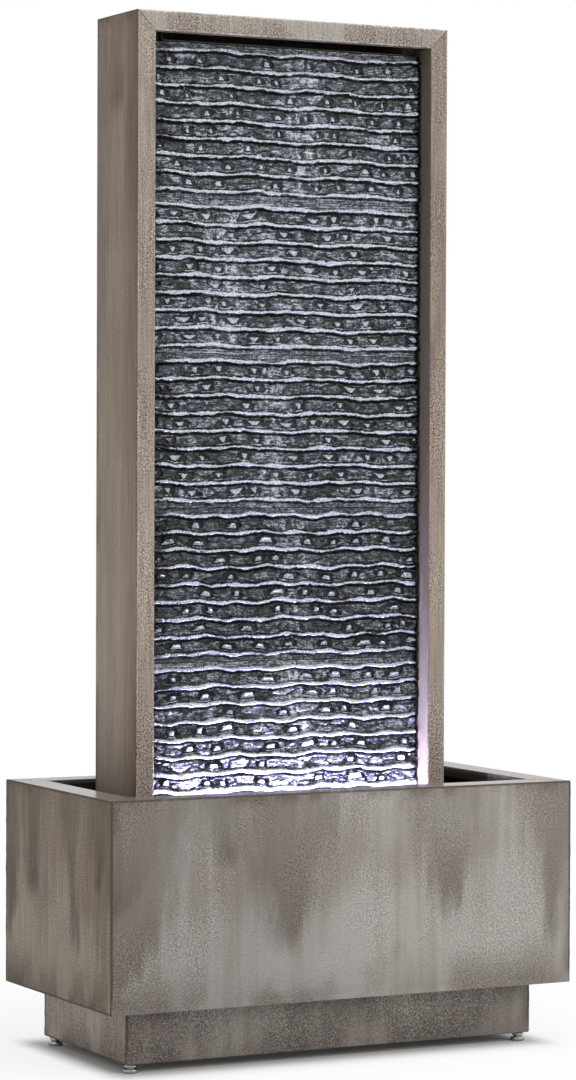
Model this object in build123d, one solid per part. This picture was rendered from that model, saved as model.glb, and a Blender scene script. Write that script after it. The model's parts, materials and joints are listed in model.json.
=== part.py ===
from build123d import *
from math import pi, sin
import os

# Cascading fountain: a slim tower of folded sheet stands in a rimmed basin on a recessed plinth.
# A pump at the foot of the tower lifts water to a trough at its head, and the water comes out of a
# weir slot and runs down five relief tiles, lit from below by a lamp strip.
# Millimetres. X runs to the right, Y to the back and Z up. The origin is on the ground, under the
# middle of the basin.

# Sheet metal
SHEET = 1.2
BEND = 0.8  # inside radius of a fold

# Fits
RUNNING_FIT = 0.05  # radial clearance of a shaft, stud or spigot
SLIDE_GAP = 0.3  # clearance between parts that slide, and of a lip in its slot
HOLE_CLEARANCE = 0.5  # radial clearance of a bolt hole

# Basin
BASIN_LENGTH = 600
BASIN_DEPTH = 300
BASIN_HEIGHT = 240
RIM_WIDTH = 38
RIM_LIP = 12

# Plinth
PLINTH_INSET = 35
PLINTH_HEIGHT = 63
PLINTH_TOP_FLANGE = 15
PLINTH_FOOT_FLANGE = 28
CORNER_PLATE_SIDE = 36
CORNER_PLATE_THICK = 3

# Adjustable feet
FOOT_INSET = 10
PAD_DIA = 17
PAD_HEIGHT = 5
COLLAR_ACROSS_FLATS = 13
COLLAR_HEIGHT = 5.2
STUD_DIA = 8
STUD_LENGTH = 30
SPIGOT_DIA = 6
SPIGOT_LENGTH = 3.5
NUT_ACROSS_FLATS = 13
NUT_HEIGHT = 6.5

# Tower frame
TOWER_DEPTH = 115
TOWER_REAR_GAP = 9.5  # from the back of the frame to the edge of the rear rim
FACE_WIDTH = 23.5
FACE_TO_WALL = 38  # from the front of the frame to the wall plate
RAIL_RETURN = 12
BACK_FLANGE = 20
WALL_PLATE_LAP = 12.5
INTAKE_GAP = 55  # water way under the wall plate
CLEAT_LEG = 25
CLEAT_THICK = 2.5
CLEAT_LENGTH = 40

# Removable back panel
BACK_PANEL_MARGIN = 2
BACK_PANEL_FOOT_GAP = 10
SCREW_DIA = 5
SCREW_LENGTH = 10
SCREW_HEAD_ACROSS_FLATS = 8
SCREW_HEAD_HEIGHT = 3.5
SCREWS_PER_SIDE = 4
SCREW_END_MARGIN = 60

# Relief tiles
TILE_COUNT = 5
TILE_WIDTH = 363
TILE_HEIGHT = 181.5
TILE_SIDE_GAP = 1
TILE_JOINT = 0.6
STACK_BELOW_RIM = 39.5  # how far the lowest tile reaches below the rim
SLAB_THICK = 11
EDGE_BAND = 9  # plain band along the top and bottom of a tile
COURSES = 8  # courses of stones in a tile, with a ledge above and below each
LEDGE_HEIGHT = 7
LEDGE_REACH = 6
LEDGE_TAPER = 1.6
LEDGE_STEPS = 16
LEDGE_WAVE = 1.5
LEDGE_DRIFT = 0.15  # share of a ledge's turn that moves its wave along
LONG_WAVE = 131
SHORT_WAVE = 53
STONE_WIDTH = 38
STONE_WIDTH_SWING = 9
STONE_GAP = 5
STONE_REACH = 2.2
STONE_REACH_SWING = 1.2
STONE_SHRINK = 0.8  # size of a stone's face against its root
STONE_TO_LEDGE = 1.2

# Weir and header trough
WEIR_GAP = 8  # open height between the tiles and the frame
SLOT_WIDTH = 324
SLOT_HEIGHT = 23.5
WEIR_LIP_REACH = 12
WEIR_CHEEK_REACH = 8
TROUGH_DROP = 58
TROUGH_REAR_GAP = 5

# Riser hose and its fittings
HOSE_DIA = 18
HOSE_BORE = 13
BARB_LENGTH = 24
BARB_GROOVE = 0.8
BARB_BORE = 9
FITTING_DIA = 16
FITTING_FLANGE_DIA = 26
FITTING_FLANGE_THICK = 3
FITTING_NUT_ACROSS_FLATS = 22
FITTING_NUT_HEIGHT = 6
CLAMP_BAND = 1
CLAMP_HEIGHT = 9
CLAMP_SCREW_BLOCK = 10
CLIP_COUNT = 3
CLIP_WALL = 2
CLIP_HEIGHT = 12
CLIP_FOOT = 34

# Pump
PUMP_DEPTH = 48
PUMP_HEIGHT = 54
PUMP_CORNER = 6
MOTOR_LENGTH = 58
VOLUTE_LENGTH = 22
COVER_LENGTH = 15
COVER_WALL = 2
CUP_DIA = 16
CUP_NECK_DIA = 8
CUP_HEIGHT = 8
CUP_LIP = 3
CUP_EDGE_GAP = 2
ROTOR_DIA = 18
ROTOR_LENGTH = 40
ROTOR_GAP = 1
BLADE_COUNT = 6
BLADE_DIA = 32
BLADE_THICK = 2
BLADE_LENGTH = 9
IMPELLER_DISC = 1.6
CHAMBER_DIA = 38
CHAMBER_DEPTH = 16
SHAFT_DIA = 3
SHAFT_SEAT = 3
EYE_DIA = 18
EYE_BOSS_DIA = 7
EYE_SPOKE = 2
EYE_SPOKES = 3
INTAKE_SLOTS = 5
INTAKE_SLOT_WIDTH = 2.5
INTAKE_SLOT_PITCH = 8
INTAKE_SLOT_HEIGHT = 36
GLAND_DIA = 14
GLAND_BORE = 7
GLAND_LENGTH = 12
GLAND_HEIGHT = 36
SLIDER_WIDTH = 22
SLIDER_HEIGHT = 18
SLIDER_THICK = 2
SLIDER_TRAVEL = 14
SLIDER_GRIP = 3
RAIL_THICK = 2

# Lamp strip
LAMP_DEPTH = 16
LAMP_HEIGHT = 12
LAMP_WALL = 1.2
LAMP_END_GAP = 4
LAMP_SETBACK = 2.5  # behind the front of the frame
LAMP_BELOW_STACK = 3
BOARD_WIDTH = 10
BOARD_THICK = 1.6
CHIP_SIZE = 5
CHIP_HEIGHT = 1.5
CHIP_COUNT = 18
DIFFUSER_THICK = 2
END_CAP_THICK = 2
LEDGER_THICK = 3
LEDGER_DROP = 30
LEDGER_REACH = 17
STRAP_WIDTH = 20
STRAP_SPACING = 240

# Grommet for the mains lead
GROMMET_DIA = 22
GROMMET_NECK_DIA = 15
GROMMET_BORE = 8
GROMMET_FLANGE = 3
GROMMET_ACROSS = 120  # from the middle of the tower
GROMMET_ABOVE_RIM = 20

# Levels, from the ground up
PLINTH_BOTTOM = PAD_HEIGHT + COLLAR_HEIGHT + SLIDE_GAP
BASIN_BOTTOM = PLINTH_BOTTOM + PLINTH_HEIGHT
FLOOR_TOP = BASIN_BOTTOM + SHEET
RIM_TOP = BASIN_BOTTOM + BASIN_HEIGHT
STACK_BOTTOM = RIM_TOP - STACK_BELOW_RIM
STACK_TOP = STACK_BOTTOM + TILE_COUNT * TILE_HEIGHT
TOWER_TOP = STACK_TOP + WEIR_GAP + FACE_WIDTH
WEIR_BOTTOM = STACK_TOP + SLIDE_GAP
WEIR_TOP = WEIR_BOTTOM + SHEET
SLOT_TOP = STACK_TOP + SLOT_HEIGHT
TROUGH_TOP = SLOT_TOP - SLIDE_GAP
TROUGH_BOTTOM = WEIR_TOP - TROUGH_DROP
PUMP_BOTTOM = FLOOR_TOP + CUP_HEIGHT
PUMP_TOP = PUMP_BOTTOM + PUMP_HEIGHT
PUMP_AXIS = PUMP_BOTTOM + PUMP_HEIGHT / 2
LAMP_TOP = STACK_BOTTOM - LAMP_BELOW_STACK + LAMP_HEIGHT / 2
LAMP_BOTTOM = LAMP_TOP - LAMP_HEIGHT

# Places across and through the tower
OPENING = TILE_WIDTH + 2 * TILE_SIDE_GAP
TOWER_WIDTH = OPENING + 2 * FACE_WIDTH
TOWER_BACK = BASIN_DEPTH / 2 - RIM_WIDTH - TOWER_REAR_GAP
TOWER_FRONT = TOWER_BACK - TOWER_DEPTH
WALL_FRONT = TOWER_FRONT + FACE_TO_WALL
WALL_BACK = WALL_FRONT + SHEET
SLAB_FRONT = WALL_FRONT - SLAB_THICK
BAY_MIDDLE = (WALL_BACK + TOWER_BACK - SHEET) / 2
LAMP_FRONT = TOWER_FRONT + LAMP_SETBACK
LAMP_BACK = LAMP_FRONT + LAMP_DEPTH

# Sections of the pump along X, with the middle of the volute at 0
VOLUTE_BACK = -VOLUTE_LENGTH / 2
VOLUTE_FACE = VOLUTE_LENGTH / 2
CHAMBER_BACK = VOLUTE_FACE - CHAMBER_DEPTH
COVER_FACE = VOLUTE_FACE + COVER_LENGTH
DISC_BACK = CHAMBER_BACK + ROTOR_GAP
ROTOR_END = DISC_BACK - ROTOR_LENGTH
WELL_END = ROTOR_END - ROTOR_GAP
SHAFT_BACK = WELL_END - SHAFT_SEAT
BOSS_FACE = VOLUTE_FACE + COVER_WALL + SHAFT_SEAT

LEDGE_PITCH = (TILE_HEIGHT - 2 * EDGE_BAND) / COURSES
PHASE_STEP = 2.4  # turns each ledge and stone a little further through its wave
SHORT_WAVE_SHARE = 0.45


def block(low, high):
    """A box between two corners."""
    size = [b - a for a, b in zip(low, high)]
    middle = [(a + b) / 2 for a, b in zip(low, high)]
    return Pos(*middle) * Box(*size)


def rod(dia, start, length, direction=(0, 0, 1)):
    """A round bar from a point, along a direction."""
    end_face = Plane(origin=start, z_dir=direction) * Circle(dia / 2)
    return extrude(end_face, length, dir=direction)


def hexagon_bar(across_flats, start, length, direction=(0, 0, 1)):
    """A six-sided bar from a point, along a direction."""
    outline = RegularPolygon(across_flats / 2, 6, major_radius=False)
    return extrude(Plane(origin=start, z_dir=direction) * outline, length, dir=direction)


def turned(outline, place):
    """A part turned on a lathe: (radius, height) points, with the axis up the place's Z."""
    face = Plane.XZ * make_face(Polyline(*outline, close=True))
    return place * revolve(face, Axis.Z)


def plan_prism(outline, bottom, top):
    """An upright prism on a plan outline."""
    face = Pos(0, 0, bottom) * make_face(Polyline(*outline, close=True))
    return extrude(face, top - bottom, dir=(0, 0, 1))


def front_prism(outline, front, back):
    """A prism on an outline of (x, z) points, from front to back."""
    plane = Plane(origin=(0, front, 0), x_dir=(1, 0, 0), z_dir=(0, -1, 0))
    return extrude(plane * make_face(Polyline(*outline, close=True)), back - front, dir=(0, 1, 0))


def sheet_section(skin):
    """Section of a folded sheet. The skin's points run along its right side, and the metal is on the left."""
    points = [Vector(*point) for point in skin]
    runs = [(b - a).normalized() for a, b in zip(points, points[1:])]
    normals = [Vector(-run.Y, run.X) for run in runs]
    inner = [points[0] + normals[0] * SHEET]
    for point, before, after in zip(points[1:-1], normals, normals[1:]):
        inner.append(point + (before + after) * (SHEET / (1 + before.dot(after))))
    inner.append(points[-1] + normals[-1] * SHEET)
    outside = FilletPolyline(*points, radius=BEND + SHEET)
    inside = FilletPolyline(*inner, radius=BEND)
    ends = Line(points[0], inner[0]) + Line(points[-1], inner[-1])
    return make_face(outside + inside + ends)


def folded_along_x(skin, length):
    """A folded sheet whose section of (y, z) points runs along X, about the middle."""
    plane = Plane(origin=(-length / 2, 0, 0), x_dir=(0, 1, 0), z_dir=(1, 0, 0))
    return extrude(plane * sheet_section(skin), length, dir=(1, 0, 0))


def box_wall(skin, length, reach, turn):
    """One wall of a four-sided box, mitred at both ends and turned about Z to its side."""
    levels = [z for _, z in skin]
    mitre = [(-length / 2, -reach), (length / 2, -reach), (0, length / 2 - reach)]
    wall = folded_along_x(skin, length) & plan_prism(mitre, min(levels), max(levels))
    return Rot(0, 0, turn) * wall


def four_walls(name, length, depth, skin_at):
    """The four walls of a box. skin_at gives the section of a wall at its distance from the middle."""
    sides = {"front": 0, "right": 90, "back": 180, "left": -90}
    walls = {}
    for side, turn in sides.items():
        run, across = (length, depth) if side in ("front", "back") else (depth, length)
        walls[f"{name}_{side}_panel"] = box_wall(skin_at(across / 2), run, across / 2, turn)
    return walls


def basin_walls():
    """Basin panels: a plain wall folded in at the top to a wide rim with a short lip."""

    def skin_at(reach):
        mouth = RIM_WIDTH - reach
        return [(mouth, RIM_TOP - RIM_LIP), (mouth, RIM_TOP), (-reach, RIM_TOP), (-reach, BASIN_BOTTOM)]

    return four_walls("basin", BASIN_LENGTH, BASIN_DEPTH, skin_at)


def basin_floor():
    """The floor fits between the walls, level with their lower edges."""
    x = BASIN_LENGTH / 2 - SHEET
    y = BASIN_DEPTH / 2 - SHEET
    return block((-x, -y, BASIN_BOTTOM), (x, y, FLOOR_TOP))


def foot_places():
    """Names and plan places of the four feet."""
    x = BASIN_LENGTH / 2 - PLINTH_INSET - FOOT_INSET
    y = BASIN_DEPTH / 2 - PLINTH_INSET - FOOT_INSET
    return {
        "front_left": (-x, -y),
        "front_right": (x, -y),
        "back_left": (-x, y),
        "back_right": (x, y),
    }


def foot_holes():
    """Holes for the feet through the plinth's lower flanges and its corner plates."""
    depth = SHEET + CORNER_PLATE_THICK
    dia = STUD_DIA + 2 * HOLE_CLEARANCE
    return [rod(dia, (x, y, PLINTH_BOTTOM), depth) for x, y in foot_places().values()]


def plinth_walls():
    """Plinth panels: a short flange under the basin floor and a wide one that stands on the feet."""

    def skin_at(reach):
        return [
            (PLINTH_TOP_FLANGE - reach, BASIN_BOTTOM),
            (-reach, BASIN_BOTTOM),
            (-reach, PLINTH_BOTTOM),
            (PLINTH_FOOT_FLANGE - reach, PLINTH_BOTTOM),
        ]

    length = BASIN_LENGTH - 2 * PLINTH_INSET
    depth = BASIN_DEPTH - 2 * PLINTH_INSET
    walls = four_walls("plinth", length, depth, skin_at)
    return {name: wall - foot_holes() for name, wall in walls.items()}


def corner_plates():
    """Plates over the mitres of the plinth's lower flanges, which carry the foot nuts."""
    bottom = PLINTH_BOTTOM + SHEET
    x1 = BASIN_LENGTH / 2 - PLINTH_INSET - SHEET - BEND
    y1 = BASIN_DEPTH / 2 - PLINTH_INSET - SHEET - BEND
    x0 = x1 - CORNER_PLATE_SIDE
    y0 = y1 - CORNER_PLATE_SIDE
    outline = [(x0, y1), (x1, y1), (x1, y0), (x1 - CORNER_PLATE_SIDE / 2, y0), (x0, y1 - CORNER_PLATE_SIDE / 2)]
    plate = plan_prism(outline, bottom, bottom + CORNER_PLATE_THICK)
    plates = [plate, mirror(plate, Plane.XZ), mirror(plate, Plane.YZ)]
    plates.append(mirror(plates[1], Plane.YZ))
    return [each - foot_holes() for each in plates]


def foot_nuts():
    """Weld nuts on the corner plates."""
    bottom = PLINTH_BOTTOM + SHEET + CORNER_PLATE_THICK
    nuts = []
    for x, y in foot_places().values():
        thread = rod(STUD_DIA + 2 * RUNNING_FIT, (x, y, bottom), NUT_HEIGHT)
        nuts.append(hexagon_bar(NUT_ACROSS_FLATS, (x, y, bottom), NUT_HEIGHT) - thread)
    return nuts


def foot_pad(x, y):
    """Round pad with a blind socket for the stud."""
    socket_bottom = PAD_HEIGHT - SPIGOT_LENGTH - RUNNING_FIT
    socket = rod(SPIGOT_DIA + 2 * RUNNING_FIT, (x, y, socket_bottom), PAD_HEIGHT - socket_bottom)
    return rod(PAD_DIA, (x, y, 0), PAD_HEIGHT) - socket


def foot_stud(x, y):
    """Stud with a hexagon collar for the spanner and a spigot that turns in the pad."""
    spigot = rod(SPIGOT_DIA, (x, y, PAD_HEIGHT - SPIGOT_LENGTH), SPIGOT_LENGTH)
    collar = hexagon_bar(COLLAR_ACROSS_FLATS, (x, y, PAD_HEIGHT), COLLAR_HEIGHT)
    return spigot + collar + rod(STUD_DIA, (x, y, PAD_HEIGHT + COLLAR_HEIGHT), STUD_LENGTH)


def screw_places():
    """Places of the back panel's screws, on the stiles' back flanges."""
    x = TOWER_WIDTH / 2 - BACK_FLANGE / 2
    first = FLOOR_TOP + SCREW_END_MARGIN
    pitch = (TOWER_TOP - SCREW_END_MARGIN - first) / (SCREWS_PER_SIDE - 1)
    return [(side * x, first + pitch * step) for side in (-1, 1) for step in range(SCREWS_PER_SIDE)]


def screw_holes(clearance):
    """Cutters for the back panel's screws."""
    dia = SCREW_DIA + 2 * clearance
    start = TOWER_BACK - 2 * SHEET
    return [rod(dia, (x, start, z), 4 * SHEET, (0, 1, 0)) for x, z in screw_places()]


def mitre_line():
    """The plan of the tower's top corners, seen from the front: the top rail's triangle."""
    half = TOWER_WIDTH / 2
    return [(-half, TOWER_TOP), (half, TOWER_TOP), (0, TOWER_TOP - half)]


def tower_left_stile():
    """Left stile: back flange, side, face and a return that meets the wall plate."""
    side = -TOWER_WIDTH / 2
    skin = [
        (side + BACK_FLANGE, TOWER_BACK),
        (side, TOWER_BACK),
        (side, TOWER_FRONT),
        (side + FACE_WIDTH, TOWER_FRONT),
        (side + FACE_WIDTH, WALL_FRONT),
    ]
    section = Pos(0, 0, FLOOR_TOP) * sheet_section(skin)
    post = extrude(section, TOWER_TOP - FLOOR_TOP, dir=(0, 0, 1))
    return post - front_prism(mitre_line(), TOWER_FRONT, TOWER_BACK) - screw_holes(RUNNING_FIT)


def tower_top_rail():
    """Top rail: back flange, top, face and a short return over the weir."""
    lower = TOWER_TOP - FACE_WIDTH
    skin = [
        (TOWER_FRONT + RAIL_RETURN, lower),
        (TOWER_FRONT, lower),
        (TOWER_FRONT, TOWER_TOP),
        (TOWER_BACK, TOWER_TOP),
        (TOWER_BACK, TOWER_TOP - BACK_FLANGE),
    ]
    # The section is drawn the other way round, so that the metal lies inside the skin.
    rail = folded_along_x(skin[::-1], TOWER_WIDTH)
    return rail & front_prism(mitre_line(), TOWER_FRONT, TOWER_BACK)


def stile_cleats():
    """Angles that hold the stiles on the basin floor, one in each."""
    x = TOWER_WIDTH / 2 - SHEET
    start = BAY_MIDDLE - CLEAT_LENGTH / 2
    end = start + CLEAT_LENGTH
    foot = block((x - CLEAT_LEG, start, FLOOR_TOP), (x, end, FLOOR_TOP + CLEAT_THICK))
    leg = block((x - CLEAT_THICK, start, FLOOR_TOP), (x, end, FLOOR_TOP + CLEAT_LEG))
    cleat = foot + leg
    return [cleat, mirror(cleat, Plane.YZ)]


def tower_back_panel():
    """Flat panel screwed over the back of the tower, with a hole for the grommet."""
    x = TOWER_WIDTH / 2 - BACK_PANEL_MARGIN
    low = (-x, TOWER_BACK, FLOOR_TOP + BACK_PANEL_FOOT_GAP)
    panel = block(low, (x, TOWER_BACK + SHEET, TOWER_TOP - BACK_PANEL_MARGIN))
    start = (GROMMET_ACROSS, TOWER_BACK, RIM_TOP + GROMMET_ABOVE_RIM)
    lead_hole = rod(GROMMET_NECK_DIA + 2 * RUNNING_FIT, start, SHEET, (0, 1, 0))
    return panel - lead_hole - screw_holes(HOLE_CLEARANCE)


def back_panel_screws():
    """Screws of the back panel, with six-sided heads."""
    under_head = TOWER_BACK + SHEET
    screws = []
    for x, z in screw_places():
        head = hexagon_bar(SCREW_HEAD_ACROSS_FLATS, (x, under_head, z), SCREW_HEAD_HEIGHT, (0, 1, 0))
        screws.append(head + rod(SCREW_DIA, (x, under_head, z), SCREW_LENGTH, (0, -1, 0)))
    return screws


def wall_plate():
    """Plate behind the tiles, between the stiles, with the weir slot near its top."""
    x = OPENING / 2 + WALL_PLATE_LAP
    plate = block((-x, WALL_FRONT, FLOOR_TOP + INTAKE_GAP), (x, WALL_BACK, TOWER_TOP - SHEET))
    half = SLOT_WIDTH / 2
    return plate - block((-half, WALL_FRONT, STACK_TOP), (half, WALL_BACK, SLOT_TOP))


def tile_ledger():
    """Angle on the wall plate that carries the stack of tiles."""
    x = OPENING / 2 - TILE_SIDE_GAP
    shelf = block((-x, WALL_FRONT - LEDGER_REACH, STACK_BOTTOM - LEDGER_THICK), (x, WALL_FRONT, STACK_BOTTOM))
    leg = block((-x, WALL_FRONT - LEDGER_THICK, STACK_BOTTOM - LEDGER_DROP), (x, WALL_FRONT, STACK_BOTTOM))
    return shelf + leg


def ledge_wave(x, turn):
    """How far a ledge rises above its straight line at x. Neighbouring ledges run nearly alike."""
    drift = LEDGE_DRIFT * turn
    long_part = sin(2 * pi * x / LONG_WAVE + drift)
    short_part = SHORT_WAVE_SHARE * sin(2 * pi * x / SHORT_WAVE + 2 * drift)
    return LEDGE_WAVE * (long_part + short_part)


def tapered_relief(root, face, reach):
    """A raised piece of a tile, from its root outline on the slab to its face outline, as (x, z) points."""
    outlines = []
    for outline, y in ((root, SLAB_FRONT), (face, SLAB_FRONT - reach)):
        outlines.append(Wire.make_polygon([(x, y, z) for x, z in outline], close=True))
    return Solid.make_loft(outlines, ruled=True)


def ledge(height, turn):
    """One wavy ledge across a tile, thinner at its face than at its root."""
    step = TILE_WIDTH / LEDGE_STEPS
    middle = []
    for index in range(LEDGE_STEPS + 1):
        x = index * step - TILE_WIDTH / 2
        middle.append((x, height + ledge_wave(x, turn)))

    def outline(half):
        upper = [(x, z + half) for x, z in middle]
        lower = [(x, z - half) for x, z in middle]
        return upper + lower[::-1]

    half = LEDGE_HEIGHT / 2
    return tapered_relief(outline(half), outline(half - LEDGE_TAPER), LEDGE_REACH)


def course_of_stones(lower, upper, lower_turn, upper_turn):
    """The stones between two ledges. Their widths and how far they stand out swing from stone to stone."""
    inset = LEDGE_HEIGHT / 2 + STONE_TO_LEDGE
    stones = []
    x0 = STONE_GAP - TILE_WIDTH / 2
    limit = TILE_WIDTH / 2 - STONE_GAP
    while x0 < limit - STONE_GAP:
        swing = sin(x0 + upper_turn)
        x1 = min(x0 + STONE_WIDTH + STONE_WIDTH_SWING * swing, limit)
        if limit - x1 < STONE_WIDTH / 2:
            x1 = limit
        root = [
            (x0, lower + ledge_wave(x0, lower_turn) + inset),
            (x1, lower + ledge_wave(x1, lower_turn) + inset),
            (x1, upper + ledge_wave(x1, upper_turn) - inset),
            (x0, upper + ledge_wave(x0, upper_turn) - inset),
        ]
        middle_x = sum(x for x, _ in root) / len(root)
        middle_z = sum(z for _, z in root) / len(root)
        face = [
            (middle_x + STONE_SHRINK * (x - middle_x), middle_z + STONE_SHRINK * (z - middle_z))
            for x, z in root
        ]
        stones.append(tapered_relief(root, face, STONE_REACH + STONE_REACH_SWING * sin(x1 + lower_turn)))
        x0 = x1 + STONE_GAP
    return stones


def cascade_tile(number):
    """One relief tile, counted from the top: a slab with wavy ledges and courses of stones between them."""
    bottom = STACK_TOP - number * TILE_HEIGHT
    half = TILE_WIDTH / 2
    slab = block((-half, SLAB_FRONT, bottom), (half, WALL_FRONT, bottom + TILE_HEIGHT - TILE_JOINT))
    levels = [bottom + EDGE_BAND + LEDGE_PITCH * row for row in range(COURSES + 1)]
    turns = [PHASE_STEP * (number * (COURSES + 1) + row) for row in range(COURSES + 1)]
    relief = [ledge(level, turn) for level, turn in zip(levels, turns)]
    for row in range(COURSES):
        relief += course_of_stones(*levels[row : row + 2], *turns[row : row + 2])
    return slab.fuse(*relief)


def header_trough():
    """Open trough behind the weir slot. Its low front wall turns out through the slot as a lip with cheeks."""
    half = SLOT_WIDTH / 2 - SLIDE_GAP
    back = TOWER_BACK - SHEET - TROUGH_REAR_GAP
    inner_front = WALL_BACK + SHEET
    shell = block((-half, WALL_BACK, TROUGH_BOTTOM), (half, back, TROUGH_TOP))
    inside_low = (SHEET - half, inner_front, TROUGH_BOTTOM + SHEET)
    shell -= block(inside_low, (half - SHEET, back - SHEET, TROUGH_TOP))
    shell -= block((SHEET - half, WALL_BACK, WEIR_TOP), (half - SHEET, inner_front, TROUGH_TOP))
    lip_front = WALL_FRONT - WEIR_LIP_REACH
    shell += block((-half, lip_front, WEIR_BOTTOM), (half, inner_front, WEIR_TOP))
    for x0, x1 in ((-half, SHEET - half), (half - SHEET, half)):
        shell += block((x0, WALL_FRONT - WEIR_CHEEK_REACH, WEIR_BOTTOM), (x1, inner_front, TROUGH_TOP))
    inlet = rod(FITTING_DIA + 2 * RUNNING_FIT, (0, BAY_MIDDLE, TROUGH_BOTTOM), SHEET)
    return shell - inlet


def barb_outline(start):
    """Upward outline of a hose barb from a height, as (radius, height) points, grooved in its middle third."""
    outer = HOSE_BORE / 2 - RUNNING_FIT
    third = BARB_LENGTH / 3
    return [
        (outer, start),
        (outer, start + third),
        (outer - BARB_GROOVE, start + third),
        (outer - BARB_GROOVE, start + 2 * third),
        (outer, start + 2 * third),
        (outer, start + BARB_LENGTH),
        (BARB_BORE / 2, start + BARB_LENGTH),
    ]


def header_inlet():
    """Fitting through the trough's bottom: flange inside, body in the hole, barb below."""
    body = FITTING_NUT_HEIGHT + SHEET
    outline = [
        (BARB_BORE / 2, -FITTING_FLANGE_THICK),
        (FITTING_FLANGE_DIA / 2, -FITTING_FLANGE_THICK),
        (FITTING_FLANGE_DIA / 2, 0),
        (FITTING_DIA / 2, 0),
        (FITTING_DIA / 2, body),
    ]
    upside_down = Pos(0, BAY_MIDDLE, TROUGH_BOTTOM + SHEET) * Rot(180, 0, 0)
    return turned(outline + barb_outline(body), upside_down)


def header_inlet_nut():
    """Nut that clamps the inlet fitting under the trough."""
    start = (0, BAY_MIDDLE, TROUGH_BOTTOM - FITTING_NUT_HEIGHT)
    thread = rod(FITTING_DIA + 2 * RUNNING_FIT, start, FITTING_NUT_HEIGHT)
    return hexagon_bar(FITTING_NUT_ACROSS_FLATS, start, FITTING_NUT_HEIGHT) - thread


def hose_ends():
    """Heights of the riser hose's lower and upper ends."""
    return PUMP_TOP + FITTING_FLANGE_THICK, TROUGH_BOTTOM - FITTING_NUT_HEIGHT


def riser_hose():
    """Hose from the pump straight up to the trough."""
    low, high = hose_ends()
    start = (0, BAY_MIDDLE, low)
    return rod(HOSE_DIA, start, high - low) - rod(HOSE_BORE, start, high - low)


def hose_clamps():
    """Band clamps over the two barbs, each with the block of its screw."""
    low, high = hose_ends()
    inner = HOSE_DIA / 2 + RUNNING_FIT
    outer = inner + CLAMP_BAND
    clamps = []
    for middle in (low + BARB_LENGTH / 2, high - BARB_LENGTH / 2):
        bottom = middle - CLAMP_HEIGHT / 2
        start = (0, BAY_MIDDLE, bottom)
        side = CLAMP_SCREW_BLOCK / 2
        screw_block = block((-side, BAY_MIDDLE, bottom), (side, BAY_MIDDLE + outer + side, bottom + CLAMP_HEIGHT))
        band = rod(2 * outer, start, CLAMP_HEIGHT) + screw_block
        clamps.append(band - rod(2 * inner, start, CLAMP_HEIGHT))
    return clamps


def hose_clips():
    """Clips that hold the hose off the back of the wall plate."""
    low, high = hose_ends()
    inner = HOSE_DIA / 2 + RUNNING_FIT
    pitch = (high - low) / (CLIP_COUNT + 1)
    clips = []
    for step in range(CLIP_COUNT):
        bottom = low + pitch * (step + 1) - CLIP_HEIGHT / 2
        top = bottom + CLIP_HEIGHT
        start = (0, BAY_MIDDLE, bottom)
        foot = block((-CLIP_FOOT / 2, WALL_BACK, bottom), (CLIP_FOOT / 2, WALL_BACK + CLIP_WALL, top))
        stem = block((-CLIP_WALL, WALL_BACK, bottom), (CLIP_WALL, BAY_MIDDLE, top))
        ring = rod(2 * (inner + CLIP_WALL), start, CLIP_HEIGHT)
        clips.append(foot + stem + ring - rod(2 * inner, start, CLIP_HEIGHT))
    return clips


def pump_section(x0, x1):
    """A length of the pump's body, rounded along its four long edges."""
    body = block((x0, BAY_MIDDLE - PUMP_DEPTH / 2, PUMP_BOTTOM), (x1, BAY_MIDDLE + PUMP_DEPTH / 2, PUMP_TOP))
    return fillet(body.edges().filter_by(Axis.X), PUMP_CORNER)


def on_axis(dia, x0, x1):
    """A round bar on the impeller's axis."""
    return rod(dia, (x0, BAY_MIDDLE, PUMP_AXIS), x1 - x0, (1, 0, 0))


def pump_housing():
    """Potted motor with the well that the rotor turns in and the blind seat of its shaft."""
    body = pump_section(VOLUTE_BACK - MOTOR_LENGTH, VOLUTE_BACK)
    body -= on_axis(ROTOR_DIA + 2 * ROTOR_GAP, WELL_END, VOLUTE_BACK)
    return body - on_axis(SHAFT_DIA + 2 * RUNNING_FIT, SHAFT_BACK, WELL_END)


def pump_volute():
    """Impeller chamber, open to the cover, with the way out at its top."""
    body = pump_section(VOLUTE_BACK, VOLUTE_FACE)
    body -= on_axis(CHAMBER_DIA, CHAMBER_BACK, VOLUTE_FACE)
    body -= on_axis(ROTOR_DIA + 2 * ROTOR_GAP, VOLUTE_BACK, CHAMBER_BACK)
    middle = (CHAMBER_BACK + VOLUTE_FACE) / 2
    return body - rod(BARB_BORE, (middle, BAY_MIDDLE, PUMP_AXIS), PUMP_TOP - PUMP_AXIS)


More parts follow.
